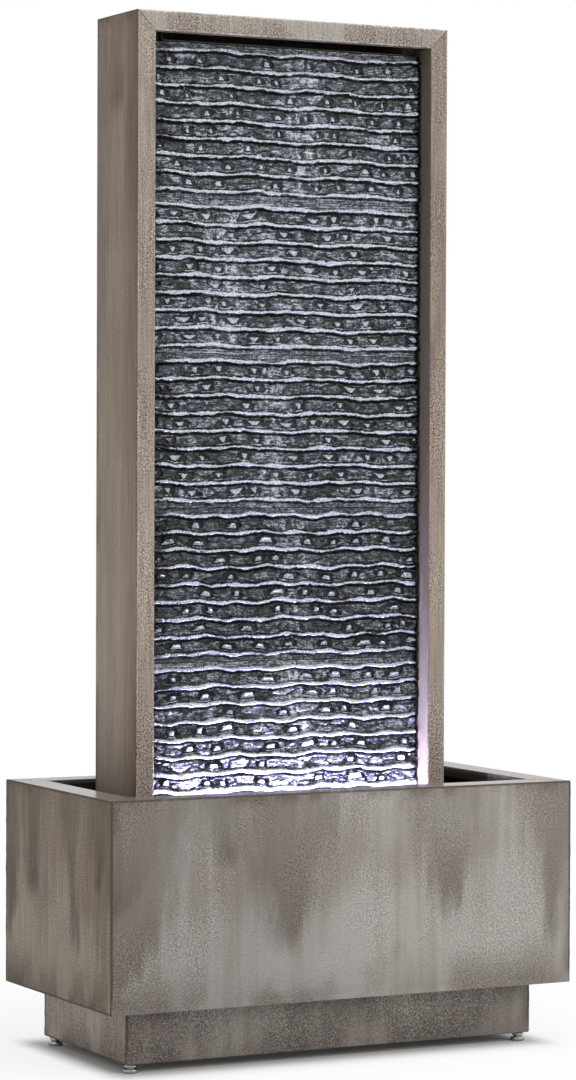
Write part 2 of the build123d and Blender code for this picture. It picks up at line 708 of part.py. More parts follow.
def pump_cover():
    """Intake cover: slotted face with guides for the flow slider, and a spoked eye that holds the shaft."""
    cover = pump_section(VOLUTE_FACE, COVER_FACE)
    wall = COVER_WALL
    y0, y1 = BAY_MIDDLE - PUMP_DEPTH / 2 + wall, BAY_MIDDLE + PUMP_DEPTH / 2 - wall
    cover -= block((VOLUTE_FACE + wall, y0, PUMP_BOTTOM + wall), (COVER_FACE - wall, y1, PUMP_TOP - wall))
    cover -= on_axis(EYE_DIA, VOLUTE_FACE, VOLUTE_FACE + wall)
    spoke = block((VOLUTE_FACE, -EYE_SPOKE / 2, 0), (VOLUTE_FACE + wall, EYE_SPOKE / 2, EYE_DIA / 2 + wall))
    for step in range(EYE_SPOKES):
        cover += Pos(0, BAY_MIDDLE, PUMP_AXIS) * Rot(360 * step / EYE_SPOKES, 0, 0) * spoke
    cover += on_axis(EYE_BOSS_DIA, VOLUTE_FACE, BOSS_FACE)
    cover -= on_axis(SHAFT_DIA + 2 * RUNNING_FIT, VOLUTE_FACE, BOSS_FACE)
    half = INTAKE_SLOT_HEIGHT / 2
    for step in range(INTAKE_SLOTS):
        y = BAY_MIDDLE + INTAKE_SLOT_PITCH * (step - (INTAKE_SLOTS - 1) / 2)
        low = (COVER_FACE - wall, y - INTAKE_SLOT_WIDTH / 2, PUMP_AXIS - half)
        cover -= block(low, (COVER_FACE, y + INTAKE_SLOT_WIDTH / 2, PUMP_AXIS + half))
    return cover + slider_guides()


def slider_guides():
    """Two hooked rails on the cover's face, with a stop under the slider."""
    edge = SLIDER_WIDTH / 2 + SLIDE_GAP
    hook = COVER_FACE + SLIDER_THICK + 2 * SLIDE_GAP
    low = PUMP_AXIS - (SLIDER_HEIGHT + SLIDER_TRAVEL) / 2 - SLIDE_GAP
    high = low + SLIDER_HEIGHT + SLIDER_TRAVEL + SLIDE_GAP
    rail = block((COVER_FACE, edge, low), (hook, edge + RAIL_THICK, high))
    rail += block((hook, edge - RAIL_THICK, low), (hook + RAIL_THICK, edge + RAIL_THICK, high))
    stop = block((COVER_FACE, -edge - RAIL_THICK, low - RAIL_THICK), (hook + RAIL_THICK, edge + RAIL_THICK, low))
    return Pos(0, BAY_MIDDLE, 0) * (rail + mirror(rail, Plane.XZ) + stop)


def flow_slider():
    """Shutter that covers part of the intake slots, with a grip for the finger. It rests at the bottom."""
    x0 = COVER_FACE + SLIDE_GAP
    x1 = x0 + SLIDER_THICK
    half = SLIDER_WIDTH / 2
    low = PUMP_AXIS - (SLIDER_HEIGHT + SLIDER_TRAVEL) / 2
    plate = block((x0, BAY_MIDDLE - half, low), (x1, BAY_MIDDLE + half, low + SLIDER_HEIGHT))
    middle = low + SLIDER_HEIGHT / 2
    grip_low = (x1, BAY_MIDDLE - half / 2, middle - SLIDER_GRIP / 2)
    return plate + block(grip_low, (x1 + SLIDER_GRIP, BAY_MIDDLE + half / 2, middle + SLIDER_GRIP / 2))


def pump_outlet():
    """Barb on top of the volute."""
    outline = [
        (BARB_BORE / 2, 0),
        (FITTING_FLANGE_DIA / 2, 0),
        (FITTING_FLANGE_DIA / 2, FITTING_FLANGE_THICK),
    ]
    return turned(outline + barb_outline(FITTING_FLANGE_THICK), Pos(0, BAY_MIDDLE, PUMP_TOP))


def pump_suction_cups():
    """Four rubber cups between the pump and the basin floor."""
    reach = PUMP_DEPTH / 2 - CUP_DIA / 2 - CUP_EDGE_GAP
    outline = [
        (0, 0),
        (CUP_DIA / 2, 0),
        (CUP_DIA / 2, CUP_LIP),
        (CUP_NECK_DIA / 2, CUP_LIP),
        (CUP_NECK_DIA / 2, CUP_HEIGHT),
        (0, CUP_HEIGHT),
    ]
    ends = (VOLUTE_BACK - MOTOR_LENGTH + CUP_DIA / 2 + CUP_EDGE_GAP, 0)
    return [turned(outline, Pos(x, BAY_MIDDLE + side * reach, FLOOR_TOP)) for x in ends for side in (-1, 1)]


def pump_gland():
    """Lead gland at the motor's end."""
    start = (VOLUTE_BACK - MOTOR_LENGTH, BAY_MIDDLE, PUMP_BOTTOM + GLAND_HEIGHT)
    inward = (-1, 0, 0)
    return hexagon_bar(GLAND_DIA, start, GLAND_LENGTH, inward) - rod(GLAND_BORE, start, GLAND_LENGTH, inward)


def impeller():
    """Magnet rotor with a disc of straight blades at its end."""
    rotor = on_axis(ROTOR_DIA, ROTOR_END, DISC_BACK) + on_axis(BLADE_DIA, DISC_BACK, DISC_BACK + IMPELLER_DISC)
    blade_front = DISC_BACK + IMPELLER_DISC + BLADE_LENGTH
    blade = block((DISC_BACK, -BLADE_THICK / 2, 0), (blade_front, BLADE_THICK / 2, BLADE_DIA / 2 - ROTOR_GAP))
    for step in range(BLADE_COUNT):
        rotor += Pos(0, BAY_MIDDLE, PUMP_AXIS) * Rot(360 * step / BLADE_COUNT, 0, 0) * blade
    return rotor - on_axis(SHAFT_DIA + 2 * RUNNING_FIT, ROTOR_END, blade_front)


def impeller_shaft():
    """Fixed pin that the impeller turns on."""
    return on_axis(SHAFT_DIA, SHAFT_BACK, BOSS_FACE)


def lamp_half_length():
    """Half the length of the lamp channel, between the stiles."""
    return OPENING / 2 - LAMP_END_GAP - END_CAP_THICK


def led_channel():
    """Aluminium channel of the lamp, open at the top."""
    half = lamp_half_length()
    channel = block((-half, LAMP_FRONT, LAMP_BOTTOM), (half, LAMP_BACK, LAMP_TOP - DIFFUSER_THICK))
    inside = (-half, LAMP_FRONT + LAMP_WALL, LAMP_BOTTOM + LAMP_WALL)
    return channel - block(inside, (half, LAMP_BACK - LAMP_WALL, LAMP_TOP))


def lamp_middle():
    """Y of the middle of the lamp."""
    return (LAMP_FRONT + LAMP_BACK) / 2


def led_board():
    """Circuit board on the floor of the channel."""
    half = lamp_half_length()
    bottom = LAMP_BOTTOM + LAMP_WALL
    y = lamp_middle()
    return block((-half, y - BOARD_WIDTH / 2, bottom), (half, y + BOARD_WIDTH / 2, bottom + BOARD_THICK))


def led_chips():
    """Lamp chips in a row along the board."""
    bottom = LAMP_BOTTOM + LAMP_WALL + BOARD_THICK
    pitch = 2 * lamp_half_length() / CHIP_COUNT
    chips = []
    for step in range(CHIP_COUNT):
        x = pitch * (step - (CHIP_COUNT - 1) / 2)
        y = lamp_middle()
        low = (x - CHIP_SIZE / 2, y - CHIP_SIZE / 2, bottom)
        chips.append(block(low, (x + CHIP_SIZE / 2, y + CHIP_SIZE / 2, bottom + CHIP_HEIGHT)))
    return chips


def led_diffuser():
    """Milky cover on top of the channel, with a tongue between its walls."""
    half = lamp_half_length()
    cover = block((-half, LAMP_FRONT, LAMP_TOP - DIFFUSER_THICK), (half, LAMP_BACK, LAMP_TOP))
    inset = LAMP_WALL + SLIDE_GAP
    tongue_low = (-half, LAMP_FRONT + inset, LAMP_TOP - 2 * DIFFUSER_THICK)
    return cover + block(tongue_low, (half, LAMP_BACK - inset, LAMP_TOP - DIFFUSER_THICK))


def led_end_caps():
    """Plates that close the ends of the lamp."""
    half = lamp_half_length()
    cap = block((half, LAMP_FRONT, LAMP_BOTTOM), (half + END_CAP_THICK, LAMP_BACK, LAMP_TOP))
    return [cap, mirror(cap, Plane.YZ)]


def led_brackets():
    """Straps that hang the lamp from the ledger: under the channel, up behind it, and back under the shelf."""
    shelf = STACK_BOTTOM - LEDGER_THICK
    ledger_front = WALL_FRONT - LEDGER_REACH
    skin = [
        (LAMP_FRONT, LAMP_BOTTOM - SHEET),
        (ledger_front + 2 * SHEET, LAMP_BOTTOM - SHEET),
        (ledger_front + 2 * SHEET, shelf - SHEET),
        (WALL_FRONT - LEDGER_THICK - SHEET, shelf - SHEET),
    ]
    strap = folded_along_x(skin, STRAP_WIDTH)
    return [Pos(side * STRAP_SPACING / 2, 0, 0) * strap for side in (-1, 1)]


def lead_grommet():
    """Rubber grommet in the back panel, grooved to the sheet."""
    half = SHEET / 2 + RUNNING_FIT
    outline = [
        (GROMMET_BORE / 2, -half - GROMMET_FLANGE),
        (GROMMET_DIA / 2, -half - GROMMET_FLANGE),
        (GROMMET_DIA / 2, -half),
        (GROMMET_NECK_DIA / 2, -half),
        (GROMMET_NECK_DIA / 2, half),
        (GROMMET_DIA / 2, half),
        (GROMMET_DIA / 2, half + GROMMET_FLANGE),
        (GROMMET_BORE / 2, half + GROMMET_FLANGE),
    ]
    middle = (GROMMET_ACROSS, TOWER_BACK + SHEET / 2, RIM_TOP + GROMMET_ABOVE_RIM)
    return turned(outline, Pos(*middle) * Rot(-90, 0, 0))


def fountain():
    """Every piece of the fountain by name. A list holds identical pieces that share a name."""
    left_stile = tower_left_stile()
    pieces = {
        **basin_walls(),
        "basin_floor": basin_floor(),
        **plinth_walls(),
        "corner_plates": corner_plates(),
        "foot_nuts": foot_nuts(),
        "tower_left_stile": left_stile,
        "tower_right_stile": mirror(left_stile, Plane.YZ),
        "tower_top_rail": tower_top_rail(),
        "stile_cleats": stile_cleats(),
        "tower_back_panel": tower_back_panel(),
        "back_panel_screws": back_panel_screws(),
        "wall_plate": wall_plate(),
        "tile_ledger": tile_ledger(),
        "header_trough": header_trough(),
        "header_inlet": header_inlet(),
        "header_inlet_nut": header_inlet_nut(),
        "riser_hose": riser_hose(),
        "hose_clamps": hose_clamps(),
        "hose_clips": hose_clips(),
        "pump_housing": pump_housing(),
        "pump_volute": pump_volute(),
        "pump_cover": pump_cover(),
        "flow_slider": flow_slider(),
        "pump_outlet": pump_outlet(),
        "pump_suction_cups": pump_suction_cups(),
        "pump_gland": pump_gland(),
        "impeller": impeller(),
        "impeller_shaft": impeller_shaft(),
        "led_channel": led_channel(),
        "led_board": led_board(),
        "led_chips": led_chips(),
        "led_diffuser": led_diffuser(),
        "led_end_caps": led_end_caps(),
        "led_brackets": led_brackets(),
        "lead_grommet": lead_grommet(),
    }
    for name, place in foot_places().items():
        pieces[f"foot_pad_{name}"] = foot_pad(*place)
        pieces[f"foot_stud_{name}"] = foot_stud(*place)
    for number in range(1, TILE_COUNT + 1):
        pieces[f"cascade_tile_{number}"] = cascade_tile(number)
    return pieces


os.makedirs("parts", exist_ok=True)
for name, piece in fountain().items():
    shape = Compound(children=piece) if isinstance(piece, list) else piece
    export_step(shape, f"parts/{name}.step")
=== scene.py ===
# %% [markdown]
# # A cascading fountain in slate and weathered sheet
#
# A slim tower of folded sheet stands in a rimmed basin. A pump lifts the water to a slot at the head
# of the tower, and it runs down five relief tiles that a lamp strip lights from below.
# The mechanical model is loaded first, as a fixed frame. Every piece below is made in that frame, so
# it needs no fitting: it goes where the frame says.

# %% Load the frame
import json
import math

import bpy
from mathutils import Matrix, Vector


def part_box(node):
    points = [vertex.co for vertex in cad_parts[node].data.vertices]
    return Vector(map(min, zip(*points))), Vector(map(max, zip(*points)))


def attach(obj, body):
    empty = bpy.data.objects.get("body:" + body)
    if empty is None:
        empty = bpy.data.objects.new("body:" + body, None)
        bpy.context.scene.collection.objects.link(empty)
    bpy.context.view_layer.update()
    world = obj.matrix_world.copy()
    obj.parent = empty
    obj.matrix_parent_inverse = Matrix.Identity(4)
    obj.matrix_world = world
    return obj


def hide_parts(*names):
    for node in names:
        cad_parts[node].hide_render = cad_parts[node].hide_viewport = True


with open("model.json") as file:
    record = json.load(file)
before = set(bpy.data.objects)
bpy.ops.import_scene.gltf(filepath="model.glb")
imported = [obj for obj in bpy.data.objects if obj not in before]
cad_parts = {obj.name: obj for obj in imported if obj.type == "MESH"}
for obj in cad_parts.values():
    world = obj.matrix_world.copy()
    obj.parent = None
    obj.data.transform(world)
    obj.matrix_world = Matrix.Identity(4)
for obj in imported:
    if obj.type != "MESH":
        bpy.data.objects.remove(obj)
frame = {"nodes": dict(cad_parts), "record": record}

scene = bpy.context.scene
nodes = frame["nodes"]
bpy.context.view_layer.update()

# %% [markdown]
# ## Camera
#
# The photograph was taken from the front left, a little above the middle of the tower. Its camera was
# found by fitting the corners of the basin, the plinth and the tower. A camera could be aimed by eye,
# but then every later comparison would be a little off, so the fitted numbers are used as they are.

# %% Camera
PHOTO_HEIGHT = 1080
FOCAL_LENGTH_PIXELS = 3509.2
SENSOR_WIDTH = 36
CAMERA_PLACE = (-1.91963, -3.69416, 0.69384)
YAW = math.radians(27.43)
PITCH = math.radians(1.31)
ROLL = math.radians(0.22)

camera_data = bpy.data.cameras.new("camera")
camera_data.sensor_width = SENSOR_WIDTH
camera_data.lens = SENSOR_WIDTH * FOCAL_LENGTH_PIXELS / PHOTO_HEIGHT
camera = bpy.data.objects.new("camera", camera_data)
scene.collection.objects.link(camera)
turn = Matrix.Rotation(-YAW, 4, "Z") @ Matrix.Rotation(math.pi / 2 - PITCH, 4, "X")
camera.matrix_world = Matrix.Translation(CAMERA_PLACE) @ turn @ Matrix.Rotation(ROLL, 4, "Z")
scene.camera = camera
print("camera: lens", round(camera_data.lens, 1), "mm")

# %% [markdown]
# ## Sums written as nodes
#
# Most of the looks here are sums over a place: how far a ledge rises at x, how pale the stone is at z.
# Nodes can hold such sums, but wiring them one by one hides the thought behind them. The small class
# below lets a sum be written as a sum, and adds one Math node for each step. It works in a material
# and in a geometry tree alike.


# %% Helpers for node trees
def node(tree, kind, *values, out=0, **options):
    """Adds a node, sets its options, fills its sockets in order and gives back one of its outputs."""
    made = tree.nodes.new(kind)
    for option, choice in options.items():
        setattr(made, option, choice)
    sockets = [socket for socket in made.inputs if socket.enabled]
    for socket, value in zip(sockets, values):
        plug(tree, socket, value)
    outputs = [socket for socket in made.outputs if socket.enabled]
    return outputs[out] if outputs else None


def plug(tree, socket, value):
    """Links a socket to an output, or sets it to a plain value."""
    if isinstance(value, Amount):
        value = value.socket
    if isinstance(value, bpy.types.NodeSocket):
        tree.links.new(value, socket)
    elif value is not None:
        socket.default_value = value


class Amount:
    """A number that changes over a surface. Sums with it become Math nodes."""

    def __init__(self, tree, socket):
        self.tree = tree
        self.socket = socket

    def step(self, operation, *others):
        return Amount(self.tree, node(self.tree, "ShaderNodeMath", self, *others, operation=operation))

    def __add__(self, other):
        return self.step("ADD", other)

    def __sub__(self, other):
        return self.step("SUBTRACT", other)

    def __mul__(self, other):
        return self.step("MULTIPLY", other)

    def __truediv__(self, other):
        return self.step("DIVIDE", other)

    def __rsub__(self, other):
        return self * -1.0 + other

    __radd__ = __add__
    __rmul__ = __mul__

    def least(self, other):
        return self.step("MINIMUM", other)

    def most(self, other):
        return self.step("MAXIMUM", other)

    def rise(self, start, end):
        """Goes smoothly from 0 to 1 as the amount goes from start to end. Start may be the larger."""
        ranged = node(
            self.tree, "ShaderNodeMapRange", self, start, end, 0.0, 1.0, interpolation_type="SMOOTHSTEP"
        )
        return Amount(self.tree, ranged)


def noise(tree, place, scale, detail=2.0, roughness=0.5, swirl=0.0):
    """Soft noise about 0.5, at a scale in steps per unit of the place."""
    return Amount(tree, node(tree, "ShaderNodeTexNoise", place, scale, detail, roughness, 2.0, swirl))


def parts_of(tree, place):
    """The x, y and z of a place."""
    return [Amount(tree, node(tree, "ShaderNodeSeparateXYZ", place, out=axis)) for axis in range(3)]


print("helpers ready")

# %% [markdown]
# ## Stage and light
#
# The photograph is a plain product picture: white paper, soft light from the front right and above, and a
# faint shadow on the floor. Large area lamps and an even world give that. The world is white only where
# the camera, a mirror or glass looks at it, so the white background adds no light to the object.

# %% Stage and light
AMBIENT = 0.42
WHITE = (1.0, 1.0, 1.0, 1.0)

scene.view_settings.view_transform = "Standard"
world = bpy.data.worlds.new("studio")
world.use_nodes = True
scene.world = world
sky = world.node_tree
sky.nodes.clear()


def seen_directly(tree):
    """1 for a ray from the camera, or one that comes back from a mirror or through glass."""
    ray = tree.nodes.new("ShaderNodeLightPath").outputs
    return Amount(tree, ray["Is Camera Ray"]).most(ray["Is Glossy Ray"]).most(ray["Is Transmission Ray"])


strength = seen_directly(sky) * (1 - AMBIENT) + AMBIENT
paper = node(sky, "ShaderNodeBackground", WHITE, strength)
node(sky, "ShaderNodeOutputWorld", paper)


def softbox(name, place, aim, size, watts):
    """A large square lamp that looks at a point."""
    lamp = bpy.data.lights.new(name, "AREA")
    lamp.shape = "SQUARE"
    lamp.size = size
    lamp.energy = watts
    holder = bpy.data.objects.new(name, lamp)
    scene.collection.objects.link(holder)
    look = (Vector(aim) - Vector(place)).to_track_quat("-Z", "Y").to_matrix().to_4x4()
    holder.matrix_world = Matrix.Translation(place) @ look


softbox("key light", place=(1.6, -3.4, 2.4), aim=(0, 0, 0.65), size=2.4, watts=62)
softbox("fill light", place=(-3.4, -1.6, 1.6), aim=(0, 0, 0.6), size=2.2, watts=9)
softbox("top light", place=(0.2, -0.6, 3.6), aim=(0, 0, 0.6), size=2.4, watts=62)
print("lamps: 3")

# %% [markdown]
# ## Finishes
#
# A finish is one Principled shader with nodes in front of it. Nearly all of them read Object
# coordinates, which are metres in the frame, so a grain of 2 mm is a noise of 500 steps per unit on
# every piece alike.


# %% A finish and its shader
class Finish:
    """A material being wired: its node tree, its coordinates and its shader."""

    def __init__(self, name, **sockets):
        self.material = bpy.data.materials.new(name)
        self.material.use_nodes = True
        self.tree = self.material.node_tree
        self.tree.nodes.clear()
        self.place = node(self.tree, "ShaderNodeTexCoord", out=3)
        self.shader = self.tree.nodes.new("ShaderNodeBsdfPrincipled")
        self.end = self.tree.nodes.new("ShaderNodeOutputMaterial")
        self.tree.links.new(self.shader.outputs[0], self.end.inputs[0])
        self.set(**sockets)

    def set(self, **sockets):
        """Sets sockets of the shader by name, with _ for a space."""
        for name, value in sockets.items():
            plug(self.tree, self.shader.inputs[name.replace("_", " ")], value)

    def noise(self, scale, detail=2.0, roughness=0.5, shift=0.0, swirl=0.0):
        """Noise with its own steps per metre along x, y and z."""
        steps = scale if isinstance(scale, tuple) else (scale, scale, scale)
        offset = (shift, 0.7 * shift, 0.3 * shift)
        place = node(self.tree, "ShaderNodeMapping", self.place, offset, None, steps)
        return noise(self.tree, place, 1.0, detail, roughness, swirl)

    def attribute(self, name):
        """A number stored on the mesh."""
        return Amount(self.tree, node(self.tree, "ShaderNodeAttribute", out=2, attribute_name=name))

    def blend(self, share, first, second):
        """The first colour, going over to the second as the share goes from 0 to 1."""
        colours = [(*c, 1.0) if isinstance(c, tuple) else c for c in (first, second)]
        return node(self.tree, "ShaderNodeMix", share, *colours, data_type="RGBA")

    def shade(self, colour, value):
        """A colour made lighter or darker by an amount."""
        return node(self.tree, "ShaderNodeHueSaturation", 0.5, 1.0, value, 1.0, colour)

    def bump(self, height, depth, strength=1.0):
        """Small relief of a depth in metres, seen only in the shading."""
        made = self.tree.nodes.new("ShaderNodeBump")
        for name, value in (("Strength", strength), ("Distance", depth), ("Height", height)):
            plug(self.tree, made.inputs[name], value)
        self.set(Normal=made.outputs[0])

    def show_through(self, share, other):
        """Shows another shader, by a share."""
        mixed = node(self.tree, "ShaderNodeMixShader", share, self.shader.outputs[0], other)
        self.tree.links.new(mixed, self.end.inputs[0])


finishes = {}
print("finish class ready")

# %% [markdown]
# ## Floor
#
# The floor is white paper as well. A plain sheet would show a horizon and a grey cast, so away from the
# plinth it goes over to pure white. Close to the plinth the soft shadow of the lamps stays.

# %% Floor
FLOOR_REACH = 6.0
NEAR_SHADOW = (-0.008, 0.07)
FAR_SHADOW = (0.08, 0.7)
FAR_SHARE = 0.18
SIDE_WEIGHT = 3.2

floor_mesh = bpy.data.meshes.new("floor")
corners = [(-FLOOR_REACH, -FLOOR_REACH, 0), (FLOOR_REACH, -FLOOR_REACH, 0)]
corners += [(FLOOR_REACH, FLOOR_REACH, 0), (-FLOOR_REACH, FLOOR_REACH, 0)]
floor_mesh.from_pydata(corners, [], [(0, 1, 2, 3)])
floor = bpy.data.objects.new("floor", floor_mesh)
scene.collection.objects.link(floor)

white_paper = Finish("white paper", Roughness=0.9, Specular_IOR_Level=0.1)
fibres = white_paper.noise(14.0, 3.0)
white_paper.set(Base_Color=white_paper.blend(fibres, (0.93, 0.93, 0.93), (0.95, 0.95, 0.95)))
plinth_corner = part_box("plinth_back_panel")[1]
x, y, _ = parts_of(white_paper.tree, white_paper.place)
beside = (x.step("ABSOLUTE") - plinth_corner.x).most(0.0)
before = (y.step("ABSOLUTE") - plinth_corner.y).most(0.0)
away = (beside * beside * SIDE_WEIGHT + before * before).step("SQRT")
whiteness = away.rise(*NEAR_SHADOW) * (1 - FAR_SHARE) + away.rise(*FAR_SHADOW) * FAR_SHARE
white = node(white_paper.tree, "ShaderNodeEmission", WHITE, 1.0)
white_paper.show_through(whiteness * seen_directly(white_paper.tree), white)
floor_mesh.materials.append(white_paper.material)
print("floor:", 2 * FLOOR_REACH, "m square")

# %% [markdown]
# ## Weathered sheet
#
# The basin, the plinth and the tower are folded from zinc-coated sheet that was brushed with an acid
# patina: taupe with grey-green clouds, umber drips that ran down before they dried, a fine dry grain and
# dark, slightly rusty lines along the folds. A picture of rust could be laid on, but it would repeat and
# stretch. Layers of noise in metres don't: wide clouds, drips drawn out along z, and grain near 2 mm.
# The dark folds come from the box of each piece: the middle one of the three distances to its sides is
# the distance to its nearest edge.

# %% Weathered sheet
RUST = (0.085, 0.055, 0.038)
SILT_AND_SHADE = (0.021, 0.016, 0.012)
DAMP_AND_SHADE = (0.099, 0.090, 0.055)
UMBER = (0.150, 0.098, 0.060)
RIM_TOP = (0.165, 0.146, 0.132)
SAND = (0.46, 0.42, 0.38)
RUBBED_HIGHLIGHT = (0.52, 0.46, 0.41)

# Tones of patina. Each has three colours: dry, plain and stained. The dull tone is darker partly as painted
# shade, for the plinth under the basin's overhang, and the soaked tone is wet and partly painted shade, for
# the pieces in the slot at the head of the tower.
COOL = ((0.372, 0.354, 0.329), (0.272, 0.240, 0.216), (0.165, 0.140, 0.124))
BROWN = ((0.342, 0.295, 0.242), (0.240, 0.196, 0.154), (0.098, 0.075, 0.059))
WARM = ((0.385, 0.325, 0.270), (0.325, 0.266, 0.217), (0.175, 0.131, 0.104))
EARTH = ((0.520, 0.465, 0.407), (0.398, 0.350, 0.307), (0.180, 0.153, 0.129))
PALE = ((0.435, 0.409, 0.372), (0.385, 0.350, 0.313), (0.215, 0.178, 0.149))
DULL_AND_SHADED = ((0.310, 0.280, 0.252), (0.196, 0.170, 0.152), (0.098, 0.082, 0.072))
SOAKED_AND_SHADED = ((0.090, 0.078, 0.066), (0.058, 0.050, 0.043), (0.028, 0.024, 0.020))

# Sand on the face and on the side of a piece, then brush lines on its face and on its side.
GRAIN = {
    "basin": (0.9, 1.0, 0.10, 1.20),
    "plinth": (1.35, 1.2, 0.10, 1.00),
    "tower": (1.70, 0.50, 0.90, 0.80),
    "wall": (1.0, 1.0, 0.10, 0.80),
    "header": (1.0, 1.0, 0.10, 0.80),
}


def edge_distance(finish, low, high):
    """Distance in metres to the nearest edge of a piece's box."""
    across = []
    for value, near, far in zip(parts_of(finish.tree, finish.place), low, high):
        across.append((value - near).least(far - value).most(0.0))
    a, b, c = across
    return a.least(b).most(a.most(b).least(c))


def add_drips(wet, drips, along, up, top, ragged, clouds):
    """Adds drips that run down from the top edge. Each is darkest near its tip."""
    for middle, length, half in drips:
        level = (up - (top - length)) / length
        reach = level.most(0.0).step("POWER", 0.6) * half
        across = (along - middle).step("ABSOLUTE") + (ragged - 0.5) * 0.075
        inside = across.rise(reach + 0.015, reach - 0.018) * level.rise(-0.10, 0.22)
        wet = wet.most(inside * (1.0 - level.rise(0.10, 0.85) * 0.50) * (clouds * 0.6 + 0.7))
    return wet


def weathered_sheet(name, low, high, seed, tones, axis, drips):
    """Patina on a piece of folded sheet, with painted shade and painted highlights in places. Its drips
    have their places along the axis.
    """
    group = name.split("_")[0]
    on_basin = group == "basin"
    on_tower = group == "tower"
    dry, plain, stain = tones
    finish = Finish(name, Specular_IOR_Level=0.2)
    place = parts_of(finish.tree, finish.place)
    facing = parts_of(finish.tree, node(finish.tree, "ShaderNodeNewGeometry", out=1))
    side = facing[0].step("ABSOLUTE").rise(0.5, 0.9)
    flat = facing[2].rise(0.93, 0.99)
    clouds = finish.noise((6.5, 6.5, 4.0), 3.0, 0.55, seed)
    patches = finish.noise((13.0, 13.0, 9.0), 2.0, 0.5, seed + 9.1)
    streaks = finish.noise((60.0, 60.0, 3.0), 2.0, 0.6, seed + 5.7)
    brush = finish.noise((460.0, 460.0, 15.0), 2.0, 0.6, seed + 1.1)
    ragged = finish.noise((34.0, 34.0, 9.0), 3.0, 0.6, seed + 2.3)
    grain = finish.noise(480.0, 1.0, 0.7)
    pepper = finish.noise(850.0, 1.0, 0.6)

    # Drips and damp patches.
    wet = (clouds * 0.75 + streaks * 0.25).rise(0.50, 0.74) * (0.20 if on_tower else 0.45)
    wet = add_drips(wet, drips, place[axis], place[2], high.z, ragged, clouds)
    foot = place[2].rise(low.z + 0.060, low.z + 0.004) * (patches.rise(0.40, 0.58) * 0.60 + 0.25)
    wet = wet.most(foot) * (1.0 - flat * 0.8)

    # Dry patina in clouds. On the basin it gathers in the lower half.
    soaked = clouds * 0.7 + streaks * 0.3
    if on_basin:
        soaked = soaked + place[2].rise(low.z + 0.07, low.z + 0.17) * 0.14 - 0.08
    colour = finish.blend(soaked.rise(0.58, 0.38).most(flat), plain, dry)
    colour = finish.blend(wet.least(1.0), colour, stain)
    # Side faces go browner and darker, more so higher up: partly browner patina, partly painted shade.
    colour = finish.blend(side * (place[2].rise(0.45, 1.2) * 0.24 + 0.08), colour, UMBER)
    colour = finish.blend(flat * 0.85, colour, RIM_TOP)

    # Dry grain in patches.
    face_sand, side_sand, face_lines, side_lines = GRAIN[group]
    sand = (patches.rise(0.38, 0.60) * 0.8 + 0.35) * (side * (side_sand - face_sand) + face_sand)
    colour = finish.blend(pepper.rise(0.56, 0.72) * sand * 0.40, colour, SAND)
    colour = finish.blend(pepper.rise(0.44, 0.30) * sand * 0.60, colour, stain)

    # Dark folds of rust. On a side face the fold also runs along the bottom edge, as painted shade. Those
    # of the tower are narrow. The tower's sides are painted with shade near their front edge, and its front
    # edges are painted pale, as rubbed wear and as a painted highlight along the bend.
    near_edge = edge_distance(finish, low, high)
    # On side faces the folds reach down to the bottom edge, as painted shade there.
    above_foot = place[2].rise(low.z + 0.003, low.z + 0.020).most(side)
    worn = near_edge.rise(0.018, 0.0) * ragged.rise(0.42, 0.62) * (1.0 - flat) * above_foot * 0.6
    narrow = 0.6 if on_tower else 1.0
    fold = near_edge.rise(0.0036 * narrow, 0.0012 * narrow) * ragged.rise(0.20, 0.42) * above_foot
    fold = fold * (1.0 - flat) * (side * 0.70 if on_tower else 0.95)
    if on_tower:
        worn = worn * side
        shadowed = side * (place[1] - low.y).rise(0.050, 0.010) * 0.42
        colour = finish.blend(shadowed * (patches * 0.6 + 0.7), colour, UMBER)
        # Painted highlight along the tower's front edges, with rubbed wear.
        rubbed_highlight = near_edge.rise(0.0030, 0.0008) * (1.0 - side) * (1.0 - flat) * ragged.rise(0.30, 0.50)
        colour = finish.blend(rubbed_highlight * 0.60, colour, RUBBED_HIGHLIGHT)
    colour = finish.blend(worn.most(fold), colour, RUST)

    # Painted shade on the faces that look inward or down, with silt on the basin and damp on the tower.
    outward = facing[0] * place[0] + facing[1] * place[1]
    inward = outward.rise(-0.02, -0.06) * place[2].rise(high.z, high.z - 0.006)
    dirt_and_shade = SILT_AND_SHADE if on_basin else DAMP_AND_SHADE
    hidden = 0.97 if on_basin else 0.77
    colour = finish.blend((inward * hidden).most(facing[2].rise(-0.4, -0.9) * 0.8), colour, dirt_and_shade)

    # Fine unevenness. A stile is darker on its front than on its sides, and lighter lower down. The basin's
    # front is painted darker towards its left end, as painted shade away from the key light.
    uneven = (grain - 0.5) * sand * 1.9 + (brush - 0.5) * (side * (side_lines - face_lines) + face_lines)
    level = 1.0
    if name.endswith("stile"):
        level = side * 0.09 + place[2].rise(0.65, 0.45) * 0.06 + 0.91
    # Painted shade: the basin's front goes darker towards its left end.
    if name == "basin_front_panel":
        level = place[0].rise(-0.14, 0.06) * 0.15 + 0.85
    finish.set(Base_Color=finish.shade(colour, uneven + level))
    finish.set(Roughness=(clouds * 0.2 + grain * 0.2 + 0.45) * (1.0 - flat * 0.68))
    finish.bump(grain * sand * (1.0 - flat), 0.0004, 0.4)
    return finish.material


